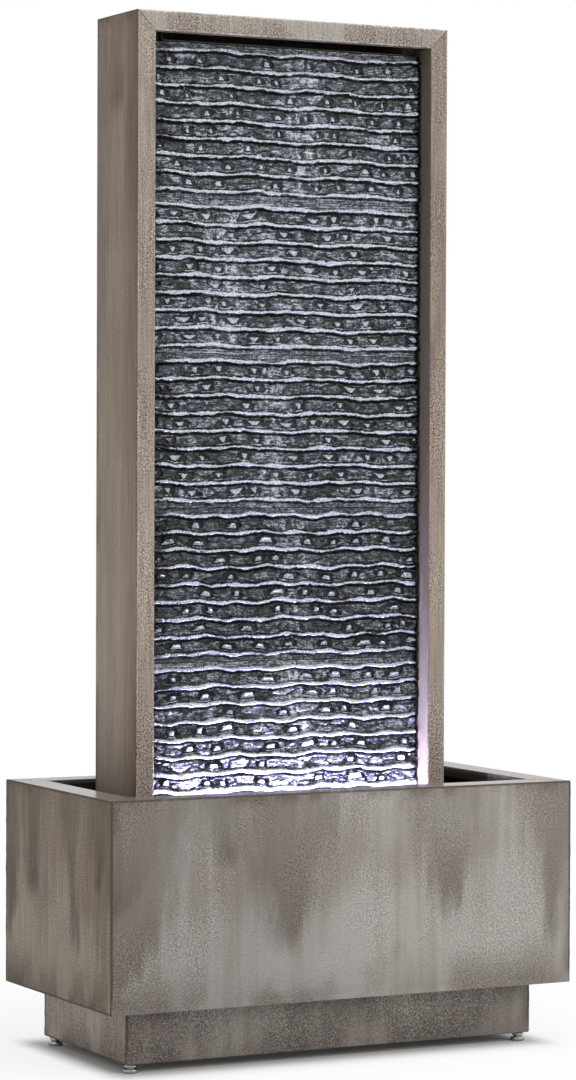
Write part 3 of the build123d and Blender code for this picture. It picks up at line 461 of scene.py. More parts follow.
# A drip is its place along the axis, its length and half its width, in metres.
FRONT_DRIPS = [
    (-0.298, 0.245, 0.096), (-0.298, 0.150, 0.084), (-0.156, 0.085, 0.030), (-0.078, 0.190, 0.060),
    (0.128, 0.158, 0.050), (0.276, 0.205, 0.030), (-0.285, 0.120, 0.028),
]
SIDE_DRIPS = [(0.135, 0.200, 0.030), (0.072, 0.135, 0.034), (-0.044, 0.190, 0.030), (-0.117, 0.120, 0.034)]
LEFT_DRIPS = [(0.005, 0.240, 0.022), (0.045, 0.120, 0.030), (0.085, 0.430, 0.016)]
RIGHT_DRIPS = [(0.001, 0.600, 0.026), (0.045, 0.120, 0.030), (0.085, 0.430, 0.016)]

# For each piece: the shift of its noise, its tone, the axis it runs along and its drips.
SHEET = {
    "basin_front_panel": (1.3, COOL, 0, FRONT_DRIPS),
    "basin_left_panel": (2.9, BROWN, 1, SIDE_DRIPS),
    "basin_right_panel": (4.1, BROWN, 1, SIDE_DRIPS),
    "basin_back_panel": (6.3, COOL, 0, FRONT_DRIPS),
    "basin_floor": (7.7, DULL_AND_SHADED, 0, []),
    "plinth_front_panel": (8.2, DULL_AND_SHADED, 0, []),
    "plinth_left_panel": (9.4, EARTH, 1, []),
    "plinth_right_panel": (10.6, EARTH, 1, []),
    "plinth_back_panel": (11.9, DULL_AND_SHADED, 0, []),
    "tower_left_stile": (33.2, WARM, 1, LEFT_DRIPS),
    "tower_right_stile": (13.8, WARM, 1, RIGHT_DRIPS),
    "tower_top_rail": (15.1, PALE, 0, []),
    "tower_back_panel": (16.6, COOL, 0, FRONT_DRIPS),
    "wall_plate": (17.3, SOAKED_AND_SHADED, 0, []),
    "header_trough": (18.5, SOAKED_AND_SHADED, 0, []),
}


def dress(name, material):
    """Puts a finish on a node of the frame."""
    mesh = nodes[name].data
    mesh.materials.clear()
    mesh.materials.append(material)


for name, (seed, tones, axis, drips) in SHEET.items():
    low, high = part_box(name)
    dress(name, weathered_sheet(name, low, high, seed, tones, axis, drips))
print("sheet pieces:", len(SHEET))

# %% [markdown]
# ## Small parts
#
# The feet and screws are bright plated steel, the pump is moulded plastic, the hose is clear and the lamp
# strip is an aluminium channel with a milky cover. These are plain finishes, but none is one flat
# colour: plated steel has faint rolling marks, and moulded plastic has a fine pebble.


# %% Small parts
def plated_steel(name, colour, worn, roughness):
    """Bright metal with faint rolling marks and stains."""
    finish = Finish(name, Metallic=1.0)
    marks = finish.noise((900.0, 900.0, 60.0), 3.0, 0.6)
    stain = finish.noise(70.0, 3.0, 0.6)
    finish.set(Base_Color=finish.blend(stain.rise(0.40, 0.70), colour, worn))
    finish.set(Roughness=marks * 0.25 + stain * 0.1 + (roughness - 0.17))
    finish.bump(marks, 0.00005, 0.4)
    return finish.material


def moulded(name, colour, worn, roughness, **sockets):
    """A moulded piece with a fine pebble and scuffs."""
    finish = Finish(name, **sockets)
    pebble = finish.noise(1300.0, 1.0)
    scuff = finish.noise(45.0, 4.0, 0.65)
    finish.set(Base_Color=finish.blend(scuff.rise(0.45, 0.75), colour, worn))
    finish.set(Roughness=pebble * 0.12 + scuff * 0.15 + (roughness - 0.13))
    finish.bump(pebble, 0.00008, 0.35)
    return finish.material


# Clean colour, worn colour and roughness.
PLATED = {
    "plain_steel": ((0.50, 0.50, 0.49), (0.36, 0.34, 0.31), 0.36),
    "foot_steel": ((0.40, 0.39, 0.37), (0.22, 0.20, 0.18), 0.27),
    "lamp_aluminium": ((0.72, 0.72, 0.73), (0.58, 0.58, 0.60), 0.32),
}
MOULDED = {
    "black_plastic": ((0.022, 0.022, 0.023), (0.045, 0.045, 0.046), 0.48),
    "grey_plastic": ((0.23, 0.24, 0.25), (0.30, 0.31, 0.32), 0.45),
    "soft_rubber": ((0.020, 0.020, 0.020), (0.038, 0.036, 0.034), 0.72),
    "shaft_ceramic": ((0.83, 0.81, 0.77), (0.74, 0.72, 0.68), 0.22),
    "lamp_board": ((0.78, 0.79, 0.76), (0.66, 0.68, 0.64), 0.40),
}
for slot, look in PLATED.items():
    finishes[slot] = plated_steel(slot.replace("_", " "), *look)
for slot, look in MOULDED.items():
    finishes[slot] = moulded(slot.replace("_", " "), *look)
finishes["clear_hose"] = moulded(
    "clear hose", (0.72, 0.76, 0.75), (0.60, 0.65, 0.63), 0.20, Transmission_Weight=0.75, IOR=1.42
)

CHIP_GLOW = 6.0
DIFFUSER_GLOW = 660.0
GLOW_EDGE = (0.004, -0.010)
VIOLET = (0.50, 0.455, 1.0)
PALE_VIOLET = (0.64, 0.60, 1.0)


def lit(name, strength):
    """A milky lamp surface that glows upward, on the front half of the strip, in uneven violet."""
    finish = Finish(name, Roughness=0.35, Base_Color=(0.9, 0.88, 0.95, 1.0))
    glow = finish.noise((55.0, 8.0, 8.0), 1.0)
    _, y, _ = parts_of(finish.tree, finish.place)
    _, _, upward = parts_of(finish.tree, node(finish.tree, "ShaderNodeNewGeometry", out=1))
    finish.set(Emission_Strength=y.rise(*GLOW_EDGE) * upward.rise(0.5, 0.9) * strength)
    finish.set(Emission_Color=finish.blend(glow, VIOLET, PALE_VIOLET))
    return finish.material


finishes["lamp_chip"] = lit("lamp chip", CHIP_GLOW)
finishes["lamp_diffuser"] = lit("lamp diffuser", DIFFUSER_GLOW)

for piece in frame["record"]["subparts"]:
    if piece["material_slot"] in finishes:
        dress(piece["node"], finishes[piece["material_slot"]])
print("finishes:", sorted(finishes))

# %% [markdown]
# ## Relief tiles
#
# Each tile is a casting of stacked slate: nine wavy ledges with a black shadow gap below each, and rough
# stones between them, some with a bright chipped corner. Sculpting five of them by hand would be slow,
# and every one would look copied. Their shape follows a rule, so one geometry tree makes them all: a
# grid whose points are raised by a sum, closed to a slab at its edges. The sum also stores how pale each
# point is, with painted highlights on the wet ledges and chips, how grey it is, and how much painted
# shade lies in its gaps and hollows. The finish reads those numbers, so colour and shape always agree.

# %% The slate finish
BLUE_SLATE = (0.092, 0.099, 0.119)
MOSSY_SLATE = (0.090, 0.097, 0.081)
DARK_SLATE = (0.006, 0.007, 0.009)
SHADE_BLACK = (0.002, 0.002, 0.003)
GLINT = (0.50, 0.55, 0.63)
CHALK_AND_HIGHLIGHT = (0.66, 0.71, 0.80)


def wet_slate():
    """Dark layered stone. The mesh says where it is pale or carries painted highlights, how grey it is, and
    where it lies in painted shade.
    """
    finish = Finish("wet slate", Specular_IOR_Level=0.3)
    layers = finish.noise((170.0, 170.0, 500.0), 4.0, 0.68, swirl=0.5)
    folds = finish.noise((60.0, 60.0, 240.0), 2.0, 0.5, 3.1, swirl=1.2)
    flecks = finish.noise(640.0, 2.0, 0.7)
    patches = finish.noise((210.0, 210.0, 340.0), 2.0, 0.6, 8.3)
    chisel = finish.noise((420.0, 420.0, 90.0), 2.0, 0.6, 5.9)
    moss = finish.noise(26.0, 2.0, 0.5, 4.4).rise(0.52, 0.68)
    grey = finish.attribute("grey") * (patches.rise(0.34, 0.66) * 1.35 + 0.3)
    grey = grey * (chisel.rise(0.36, 0.64) * 0.9 + 0.55)
    lines = (folds - 0.5).step("ABSOLUTE").rise(0.045, 0.008)
    dark = layers.rise(0.38, 0.60) * (flecks * 2.0 + 0.1)
    stone = finish.blend(moss, BLUE_SLATE, MOSSY_SLATE)
    colour = finish.blend((grey * dark).least(1.0), DARK_SLATE, stone)
    # Painted glints of wet light, in the layers, the folds and the flecks of the stone.
    bright = (layers.rise(0.52, 0.62) * 0.9).most(lines * 0.8).most(flecks.rise(0.56, 0.68) * 0.9)
    colour = finish.blend((bright * grey).least(1.0), colour, GLINT)
    # Pale stone and painted highlights go over to the chalky colour.
    torn = finish.attribute("pale") + (flecks - 0.5) * 1.3 + (layers - 0.5) * 1.0
    pale = torn.rise(0.36, 0.66)
    colour = finish.blend(pale * (flecks.rise(0.36, 0.58) * 0.72 + 0.28), colour, CHALK_AND_HIGHLIGHT)
    # Painted shade goes over to black.
    deep = finish.attribute("deep") * (1.0 - pale)
    colour = finish.blend(deep, colour, SHADE_BLACK)
    finish.set(Base_Color=colour)
    finish.set(Roughness=pale * 0.20 + flecks * 0.22 + 0.18)
    finish.bump(layers * 0.6 + flecks * 0.4, 0.0014, 0.7)
    return finish.material


finishes["wet_slate"] = wet_slate()
print("slate finish ready")

# %% [markdown]
# A geometry tree has a few named inputs here, so that one tree can make many pieces. Each piece is kept
# as a plain mesh.


# %% Geometry trees
class Tree:
    """A geometry tree with named inputs."""

    def __init__(self, name, **inputs):
        self.tree = bpy.data.node_groups.new(name, "GeometryNodeTree")
        for label, kind in inputs.items():
            self.tree.interface.new_socket(label, in_out="INPUT", socket_type="NodeSocket" + kind)
        self.tree.interface.new_socket("Mesh", in_out="OUTPUT", socket_type="NodeSocketGeometry")
        self.given = self.tree.nodes.new("NodeGroupInput").outputs

    def add(self, kind, *values, out=0, **options):
        return node(self.tree, kind, *values, out=out, **options)

    def amount(self, label):
        return Amount(self.tree, self.given[label])

    def join(self, parts):
        """Several meshes as one."""
        joined = self.tree.nodes.new("GeometryNodeJoinGeometry")
        for part in parts:
            self.tree.links.new(part, joined.inputs[0])
        return joined.outputs[0]

    def finish(self, mesh):
        """Ends the tree: real meshes only, with the material that was given."""
        real = self.add("GeometryNodeRealizeInstances", mesh)
        dressed = self.add("GeometryNodeSetMaterial", real, None, self.given["Material"])
        self.add("NodeGroupOutput", dressed)


def grown(name, tree, slot, body, **inputs):
    """A plain mesh from a geometry tree, riding on a body."""
    mesh = bpy.data.meshes.new(name)
    piece = bpy.data.objects.new(name, mesh)
    scene.collection.objects.link(piece)
    modifier = piece.modifiers.new("tree", "NODES")
    modifier.node_group = tree.tree
    for item in tree.tree.interface.items_tree:
        if item.in_out == "INPUT":
            modifier[item.identifier] = inputs[item.name]
    evaluated = piece.evaluated_get(bpy.context.evaluated_depsgraph_get())
    finished = bpy.data.meshes.new_from_object(evaluated)
    piece.modifiers.clear()
    piece.data = finished
    finished.name = name
    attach(piece, body)
    return piece


print("tree class ready")

# %% [markdown]
# The ledges follow the two waves of the frame's own tiles, so each visible ledge lies close to its
# solid one. Finer waves from noise break their edges. All lengths in the sum are millimetres: u runs
# along the tile from its middle, and v goes up from its foot.

# %% The relief tree
MILLIMETRE = 0.001
GRID = (361, 265)
EDGE_BAND = 9.0
LEDGES = 9
LEDGE_PITCH = 20.4375
LONG_WAVE = 131
SHORT_WAVE = 53
WAVE_HEIGHT = 1.2
WAVE_DRIFT = 0.36
CHIP_PITCH = 42.0
BLOCK_LENGTH = 27.0
BLOCK_HEIGHT = 13.0
MERGE_DISTANCE = 0.00001


def close_slab(made, mesh):
    """Takes the edges of a raised grid straight back to its plane, and closes it there with one face."""
    rim = Amount(made.tree, made.add("GeometryNodeInputMeshEdgeNeighbors")).step("LESS_THAN", 1.5)
    skirt = made.tree.nodes.new("GeometryNodeExtrudeMesh")
    skirt.mode = "EDGES"
    plug(made.tree, skirt.inputs["Mesh"], mesh)
    plug(made.tree, skirt.inputs["Selection"], rim)
    skirt.inputs["Offset Scale"].default_value = 0.0
    here = made.add("GeometryNodeInputPosition")
    flat = made.add("ShaderNodeVectorMath", here, (1.0, 1.0, 0.0), operation="MULTIPLY")
    mesh = made.add("GeometryNodeSetPosition", skirt.outputs["Mesh"], skirt.outputs["Top"], flat)
    outline = made.add("GeometryNodeMeshToCurve", mesh, skirt.outputs["Top"])
    back = made.add("GeometryNodeFlipFaces", made.add("GeometryNodeFillCurve", outline, mode="NGONS"))
    return made.add("GeometryNodeMergeByDistance", made.join((back, mesh)), None, MERGE_DISTANCE)


def relief_tree():
    """Slab with ledges and stones, flat on its back, at the place of one tile."""
    made = Tree(
        "slate relief",
        Width="Float",
        Height="Float",
        Slab="Float",
        Number="Int",
        Shine="Float",
        Stream="Float",
        Place="Vector",
        Material="Material",
    )
    tree = made.tree
    add = made.add
    width = made.amount("Width")
    height = made.amount("Height")
    number = made.amount("Number")
    shine = made.amount("Shine")
    grid = add("GeometryNodeMeshGrid", width * MILLIMETRE, height * MILLIMETRE, *GRID)
    x, y, _ = parts_of(tree, add("GeometryNodeInputPosition"))
    u = x * 1000.0
    v = y * 1000.0 + height * 0.5

    # The tile's number says how its chips point, and which tile the lamp lights.
    first = number.step("LESS_THAN", 1.5)
    upward = number.step("GREATER_THAN", 3.5)
    downward = number.step("GREATER_THAN", 1.5) * number.step("LESS_THAN", 3.5)
    lowest = number.step("GREATER_THAN", 4.5)

    def rough(length, tall, row, detail=1.0):
        """Noise from about -1 to 1 that changes along the tile, and from row to row."""
        place = add("ShaderNodeCombineXYZ", u / length, v / tall + row * 7.31, number * 3.7)
        return noise(tree, place, 1.0, detail) * 4.0 - 2.0

    def ledge_line(row):
        """Height of a ledge's middle line."""
        drift = (number * float(LEDGES) + row) * WAVE_DRIFT
        long_wave = (u * (2 * math.pi / LONG_WAVE) + drift).step("SINE")
        short_wave = (u * (2 * math.pi / SHORT_WAVE) + drift * 2.0).step("SINE")
        ripple = rough(26.0, 400.0, row) * 0.6 + rough(10.0, 400.0, row + 15.0) * 0.5
        wave = long_wave + short_wave * (upward * 0.5 + 0.45)
        return row * LEDGE_PITCH + EDGE_BAND + wave * WAVE_HEIGHT + ripple

    # The nearest ledge, and the course of stones that the point lies in.
    row = ((v - EDGE_BAND) / LEDGE_PITCH + 0.5).step("FLOOR").most(0.0).least(LEDGES - 1.0)
    course = ((v - EDGE_BAND) / LEDGE_PITCH).step("FLOOR")
    in_course = course.rise(-0.6, -0.4) * course.rise(LEDGES - 1.4, LEDGES - 1.6)
    above = v - ledge_line(row)
    over_lower = v - ledge_line(course)
    under_upper = ledge_line(course + 1.0) - v

    # A ledge with torn edges, and the shadow gap that runs below it. By the lamp the lowest gap is left out
    # and the foot is painted pale, as painted lamp light.
    crumble = rough(5.0, 4.0, row, 3.0) * 0.9 + rough(2.4, 2.0, row + 5.0) * 0.4
    by_lamp = lowest * v.rise(75.0, 5.0)
    half = (rough(24.0, 400.0, row + 40.0, 3.0) * 1.2 + 2.0).most(0.6) + by_lamp * 1.2
    offset = above + crumble + 0.2
    inside = half - offset.step("ABSOLUTE")
    ledge = inside.rise(-0.7, 0.6)
    below = offset * -1.0 - half
    drop = (rough(15.0, 400.0, row + 60.0, 2.0) * 1.0 + 1.3).most(0.3)
    lit_foot = lowest * v.rise(14.0, 9.0)
    gap = below.rise(-0.3, 0.5) * below.rise(drop + 1.0, drop) * (1.0 - lit_foot)

    # Chips: broken corners painted bright as a highlight, in hollows painted dark as shade, with the point
    # up or down by the tile.
    spot = tree.nodes.new("ShaderNodeTexVoronoi")
    spot.voronoi_dimensions = "1D"
    plug(tree, spot.inputs["W"], u / CHIP_PITCH + course * 17.31 + number * 5.77)
    spot.inputs["Scale"].default_value = 1.0
    spot.inputs["Randomness"].default_value = 0.8
    chance = []
    for channel in range(3):
        chance.append(Amount(tree, add("FunctionNodeSeparateColor", spot.outputs["Color"], out=channel)))
    present = chance[0].rise(0.20, 0.24) * in_course
    aside = Amount(tree, spot.outputs["Distance"]) * CHIP_PITCH + crumble * 0.9
    level = (over_lower - 6.6) / (chance[1] * 2.6 + 4.2)
    to_point = level + downward * (1.0 - level * 2.0)
    foot = (chance[2] * chance[2] * 6.5 + 3.6) * (1.0 - first * 0.55)
    slant = foot * (1.0 - to_point * (downward * 0.3 + 0.45))
    chip = aside.rise(slant + 0.7, slant - 0.7) * level.rise(-0.08, 0.10)
    chip = chip * level.rise(1.12, 0.90) * present
    base_line = aside.rise(foot + 4.0, foot) * over_lower.rise(3.4, 4.1)
    base_line = base_line * over_lower.rise(5.5, 4.8) * present
    beyond = (aside - foot).most(0.0) / 6.5
    level_off = (over_lower - 9.6) / 6.4
    around = (beyond * beyond + level_off * level_off).step("SQRT")
    around = around + rough(7.0, 5.0, course + 50.0, 2.0) * 0.5
    hollow = around.rise(0.98, 0.62) * present
    arcs = (around * 13.0 + chance[1] * 6.0).step("SINE").rise(0.45, 0.95) * around.rise(1.5, 1.2)
    arcs = arcs * present * rough(18.0, 9.0, course + 70.0).rise(-0.4, 0.7) * (1.0 - chip)

    # Stones: broken blocks of their own grey between the ledges.
    along = u / BLOCK_LENGTH + crumble * 0.06
    up = v / BLOCK_HEIGHT + crumble * 0.1
    cell = add("ShaderNodeCombineXYZ", along, up, number * 2.9)
    tint = Amount(tree, add("FunctionNodeSeparateColor", add("ShaderNodeTexVoronoi", cell, 1.0, out=1)))
    seam = Amount(tree, add("ShaderNodeTexVoronoi", cell, 1.0, feature="DISTANCE_TO_EDGE"))
    crack = seam.rise(0.13, 0.03) * in_course
    body = over_lower.rise(2.2, 4.0) * under_upper.rise(3.8, 5.4) * in_course * (1.0 - hollow)
    facets = rough(12.0, 7.0, course, 3.0)
    stone = body * (facets * 1.0 + (tint - 0.5) * 1.6 + 3.9 - crack * 1.4)
    blot = rough(13.0, 7.0, course + 33.0, 3.0).rise(-0.9, 0.5)
    strata = (over_lower * 1.9 + rough(22.0, 12.0, course + 25.0, 2.0) * 1.7 + tint * 4.0).step("SINE")
    broken = rough(17.0, 5.0, course + 91.0, 2.0)
    vein = strata.rise(0.45, 0.95) * broken.rise(0.0, 0.9) * body
    split = strata.rise(-0.40, -0.95) * broken.rise(0.5, -0.5) * body

    # Fine layers on the plain bands along the top and bottom, and thin pale lines in the courses.
    plain = 1.0 - in_course.most(ledge)
    layers = (v * 1.75 + rough(60.0, 300.0, row) * 0.9).step("SINE")
    band = plain * layers.rise(0.0, 0.8) * rough(30.0, 9.0, 80.0, 3.0).rise(-1.0, 0.6)
    line = over_lower.rise(3.0, 3.6) * over_lower.rise(4.8, 4.2)
    line = line * rough(24.0, 300.0, course + 9.0).rise(0.3, 1.0)
    line = (line * in_course).most(base_line)

    # The left side is duller, the right border is painted dark as the shadow in the gap by the stile, and a
    # painted sheen of water follows the stream where it wanders.
    ragged = rough(9.0, 9.0, 3.0, 2.0) * 5.0 - rough(110.0, 400.0, row + 90.0) * 20.0
    left_side = (u + width * 0.5 + ragged).rise(2.0, 36.0)
    shadow_border = (width * 0.5 - u + crumble).rise(5.6, 3.2) * (1.0 - by_lamp)
    clear = left_side * (width * 0.5 - u + ragged * 0.5).rise(-1.0, 9.0)
    wander = u - made.amount("Stream") + rough(60.0, 45.0, 31.0, 2.0) * 9.0
    stream_sheen = (wander * wander).rise(1100.0, 0.0) * rough(7.0, 16.0, 5.0, 2.0).rise(-0.7, 0.7)
    mottle = rough(40.0, 400.0, row + 20.0, 3.0).rise(-1.4, 0.3) * 0.60 + 0.40

    # The sums: how high a point is, how pale with painted highlights, how grey, and how deep in painted
    # shade.
    shape = offset / half
    tilt = 3.4 - level * 2.4 + upward * (level * 5.6 - 0.2)
    raised = ledge * (5.6 - shape * shape * 0.7) + stone + chip * tilt + band * 0.9 + line * 0.9
    raised = raised + vein * 0.5 - split * 0.6 - gap * 1.2
    raised = raised - hollow * (1.0 - chip) * 0.4 + rough(3.2, 2.2, 11.0, 2.0) * 0.3
    # Pale stone, with painted highlights on the ledges, the chips, the stream and the foot by the lamp.
    pale = inside.rise(-1.2, 1.2).least((half + offset).rise(0.1, 1.6)) * mottle
    pale = pale.most(chip * (chance[0] * 0.35 + 0.6)).most(band * 0.46).most(line * 0.5).most(arcs * 0.50)
    pale = pale.most(stream_sheen * body * 0.50).most(vein * 0.75).most(lit_foot * plain)
    pale = (pale * (clear * 0.7 + 0.3) * (shine * 0.4 + 0.6)).least(1.0) * (1.0 - shadow_border)
    grey = (tint * 1.0 + 0.14) * (blot * 0.85 + 0.2) * (body * 0.8 + 0.2) + plain * 0.23 + stream_sheen * 0.7
    # Near the lamp the grey is painted darker, as painted shade, and on the left side it is duller.
    grey = grey * shine * (1.0 - by_lamp * 0.5) * (left_side * 0.5 + 0.55)
    # Painted shade: black in the gaps, hollows, cracks and splits, and along the right border.
    deep = gap.most(hollow * (1.0 - chip) * (1.0 - line) * (1.0 - arcs * 0.8) * 0.85)
    deep = deep.most(crack * body * 0.8).most(split * 0.75)
    deep = (deep * (1.0 - pale)).most(shadow_border)

    lift = (raised + made.amount("Slab")) * MILLIMETRE
    mesh = add("GeometryNodeSetPosition", grid, None, None, add("ShaderNodeCombineXYZ", 0.0, 0.0, lift))
    for label, value in (("pale", pale), ("grey", grey), ("deep", deep)):
        mesh = add("GeometryNodeStoreNamedAttribute", mesh, None, label, value)
    mesh = close_slab(made, add("GeometryNodeSetShadeSmooth", mesh, None, True))
    made.finish(add("GeometryNodeTransform", mesh, made.given["Place"], (math.pi / 2, 0.0, 0.0)))
    return made


relief = relief_tree()
print("relief tree:", len(relief.tree.nodes), "nodes")

# %% [markdown]
# One tree grows all five tiles. Their number shifts the waves and the noise, so no two are alike. Each
# tile also has its own shine and its own place for the stream of water, as in the photograph.

# %% Grow the tiles
SLAB = 11.0
# A tile's shine paints its grey and pale parts lighter or darker, as painted sheen.
SHINE = {1: 1.5, 2: 1.8, 3: 1.15, 4: 0.75, 5: 1.95}
STREAM = {1: 21.0, 2: -86.0, 3: -17.0, 4: 11.0, 5: 15.0}
for number in range(1, 6):
    name = f"cascade_tile_{number}"
    low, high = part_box(name)
    tile = grown(
        f"slate_tile_{number}",
        relief,
        "wet_slate",
        "root",
        Width=(high.x - low.x) * 1000,
        Height=(high.z - low.z) * 1000,
        Slab=SLAB,
        Number=number,
        Shine=SHINE[number],
        Stream=STREAM[number],
        Place=((low.x + high.x) / 2, high.y, (low.z + high.z) / 2),
        Material=finishes["wet_slate"],
    )
    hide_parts(name)
    print(tile.name, len(tile.data.polygons), "faces")

# %% [markdown]
# ## Adjustable feet
#
# Each foot is a turned pad on a threaded stud. A spanner on the collar turns the stud, and its thread
# moves the foot in or out of the plinth. The turned shapes are made as a lathe makes them: a profile goes
# round an axis, ring by ring. The collar is a ring too, cut back to six flats. Only the thread follows a
# path, so a geometry tree winds it: a spiral with a small profile swept along it. Pad and stud are
# separate pieces, because the stud turns in the pad.


# %% Turned shapes
SHARP = math.radians(28)


def turned(name, rings, middle, slot, body, sides=48):
    """A closed shape turned about an upright axis. A ring: radius, height and, for a hexagon, its flats."""
    points, faces, loops = [], [], []
    for radius, height, *flats in rings:
        loop = []
        for step in range(sides if radius else 1):
            angle = 2 * math.pi * step / sides
            reach = radius
            if flats:
                reach = min(radius, flats[0] / 2 / math.cos(angle % (math.pi / 3) - math.pi / 6))
            x = middle.x + reach * math.cos(angle)
            y = middle.y + reach * math.sin(angle)
            loop.append(len(points))
            points.append((x, y, middle.z + height))
        loops.append(loop)
    for lower, upper in zip(loops, loops[1:]):
        for step in range(sides):
            corners = [lower[step % len(lower)], lower[(step + 1) % len(lower)]]
            corners += [upper[(step + 1) % len(upper)], upper[step % len(upper)]]
            faces.append(list(dict.fromkeys(corners)))
    mesh = bpy.data.meshes.new(name)
    mesh.from_pydata(points, [], faces)
    mesh.polygons.foreach_set("use_smooth", [True] * len(mesh.polygons))
    mesh.set_sharp_from_angle(angle=SHARP)
    mesh.materials.append(finishes[slot])
    piece = bpy.data.objects.new(name, mesh)
    scene.collection.objects.link(piece)
    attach(piece, body)
    return piece


def thread_tree():
    """A helical ridge about a vertical axis."""
    made = Tree(
        "thread",
        Turns="Float",
        Radius="Float",
        Ridge="Float",
        Length="Float",
        Place="Vector",
        Material="Material",
    )
    add = made.add
    radius = made.amount("Radius") - made.amount("Ridge")
    spiral = add("GeometryNodeCurveSpiral", 20, made.given["Turns"], radius, radius, made.given["Length"])
    upright = add("GeometryNodeSetCurveNormal", spiral, None, mode="Z_UP")
    profile = add("GeometryNodeCurvePrimitiveCircle", 6, made.given["Ridge"])
    ridge = add("GeometryNodeCurveToMesh", upright, profile)
    ridge.node.inputs["Fill Caps"].default_value = True
    made.finish(add("GeometryNodeTransform", ridge, made.given["Place"]))
    return made


thread = thread_tree()
print("thread tree:", len(thread.tree.nodes), "nodes")

# %% [markdown]
# The rings below are the profiles of a pad and a stud. Each rides on its own body, so the stud can turn
# while the pad goes straight down.

# %% Feet
# Rings in millimetres, along the profile.
PAD_PROFILE = [
    (0, 0), (7.4, 0), (8.2, 0.4), (8.5, 1.0), (8.5, 3.8), (8.2, 4.6),
    (7.5, 5.0), (5.6, 5.0), (5.2, 4.5), (3.1, 4.5), (3.1, 1.4), (0, 1.4),
]
STUD_PROFILE = [
    (0, 1.5), (2.6, 1.5), (3.0, 1.9), (3.0, 4.7), (4.6, 4.75), (4.6, 6.4), (6.1, 6.4, 13),
    (7.4, 7.1, 13), (7.4, 9.5, 13), (6.1, 10.2, 13), (3.35, 10.2), (3.35, 39.6), (2.7, 40.2), (0, 40.2),
]
THREAD_PITCH = 1.25
THREAD_LENGTH = 28.0
THREAD_RADIUS = 0.004
THREAD_RIDGE = 0.00055
THREAD_START = 0.0112

pad_rings = [[size / 1000 for size in ring] for ring in PAD_PROFILE]
stud_rings = [[size / 1000 for size in ring] for ring in STUD_PROFILE]
for corner in ("front_left", "front_right", "back_left", "back_right"):
    low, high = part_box("foot_pad_" + corner)
    middle = Vector(((low.x + high.x) / 2, (low.y + high.y) / 2, low.z))
    pad = turned("pad_" + corner, pad_rings, middle, "foot_steel", "pad_" + corner)
    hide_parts("foot_pad_" + corner)
    stud = turned("stud_" + corner, stud_rings, middle, "foot_steel", "stud_" + corner)
    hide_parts("foot_stud_" + corner)
    grown(
        "thread_" + corner,
        thread,
        "foot_steel",
        "stud_" + corner,
        Turns=THREAD_LENGTH / THREAD_PITCH,
        Radius=THREAD_RADIUS,
        Ridge=THREAD_RIDGE,
        Length=THREAD_LENGTH / 1000,
        Place=middle + Vector((0, 0, THREAD_START)),
        Material=finishes["foot_steel"],
    )
print("feet: 4, thread pitch", THREAD_PITCH, "mm")

# %% [markdown]
# ## Back panel screws
#
# Eight flanged hexagon screws hold the back panel, in two columns. They are all alike, so a geometry tree
# puts one screw on every point of two lines and gives each its own angle, as screws have when they were
# driven home by feel.


# %% Back panel screws
def screw_tree():
    """Two upright columns of screws that point to the back."""
    made = Tree(
        "panel screws",
        Count="Int",
        Start="Vector",
        Step="Vector",
        Across="Vector",
        Head="Float",
        Height="Float",
        Shank="Float",
        Length="Float",
        Seed="Int",
        Material="Material",
    )
    add = made.add
    head = made.amount("Head")
    height = made.amount("Height")
    length = made.amount("Length")

    def cylinder(sides, radius, depth, bottom):
        upright = add("GeometryNodeMeshCylinder", sides, 1, 1, radius, depth)
        place = add("ShaderNodeCombineXYZ", 0.0, 0.0, depth * 0.5 + bottom)
        return add("GeometryNodeTransform", upright, place)

    def cone(sides, top, foot, depth, bottom):
        upright = add("GeometryNodeMeshCone", sides, 1, 1, top, foot, depth)
        return add("GeometryNodeTransform", upright, add("ShaderNodeCombineXYZ", 0.0, 0.0, bottom))

    flange = cone(32, head * 0.60, head * 0.72, height * 0.26, 0.0)
    hexagon = cylinder(6, head * 0.577, height * 0.62, height * 0.2)
    crown = cone(6, head * 0.46, head * 0.574, height * 0.20, height * 0.80)
    shank = cylinder(20, made.amount("Shank") * 0.5, length, length * -1.0)
    screw = made.join((flange, hexagon, crown, shank))

    left = add("GeometryNodeMeshLine", made.given["Count"], made.given["Start"], made.given["Step"])
    points = made.join((left, add("GeometryNodeTransform", left, made.given["Across"])))
    angle = add("FunctionNodeRandomValue", 0.0, 1.0, None, made.given["Seed"], out=0, data_type="FLOAT")
    turn = add("ShaderNodeCombineXYZ", -math.pi / 2, angle, 0.0)
    made.finish(add("GeometryNodeInstanceOnPoints", points, None, screw, None, None, turn))
    return made


HEAD = 0.008
HEAD_HEIGHT = 0.0035
SHANK = 0.005
SHANK_LENGTH = 0.0099
ROWS = 4
SEED = 3

low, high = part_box("back_panel_screws")
reach = HEAD / math.sqrt(3)
pitch = (high.z - low.z - HEAD) / (ROWS - 1)
screws = grown(
    "panel_screws",
    screw_tree(),
    "plain_steel",
    "root",
    Count=ROWS,
    Start=Vector((low.x + reach, high.y - HEAD_HEIGHT, low.z + HEAD / 2)),
    Step=Vector((0, 0, pitch)),
    Across=Vector((high.x - low.x - 2 * reach, 0, 0)),
    Head=HEAD,
    Height=HEAD_HEIGHT,
    Shank=SHANK,
    Length=SHANK_LENGTH,
    Seed=SEED,
    Material=finishes["plain_steel"],
)
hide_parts("back_panel_screws")
print("screws:", 2 * ROWS, "at a pitch of", round(pitch, 3), "m")

# %% [markdown]
# ## Welded seams
#
# The panels are welded along their mitres and corners, and the beads were ground nearly flat before the
# patina went on, so each seam shows as a fine, dark, uneven line. A line could be painted, but a real
# bead also catches light. A geometry tree sweeps a small circle along each seam, and noise makes it
# thicker, thinner and a little crooked.


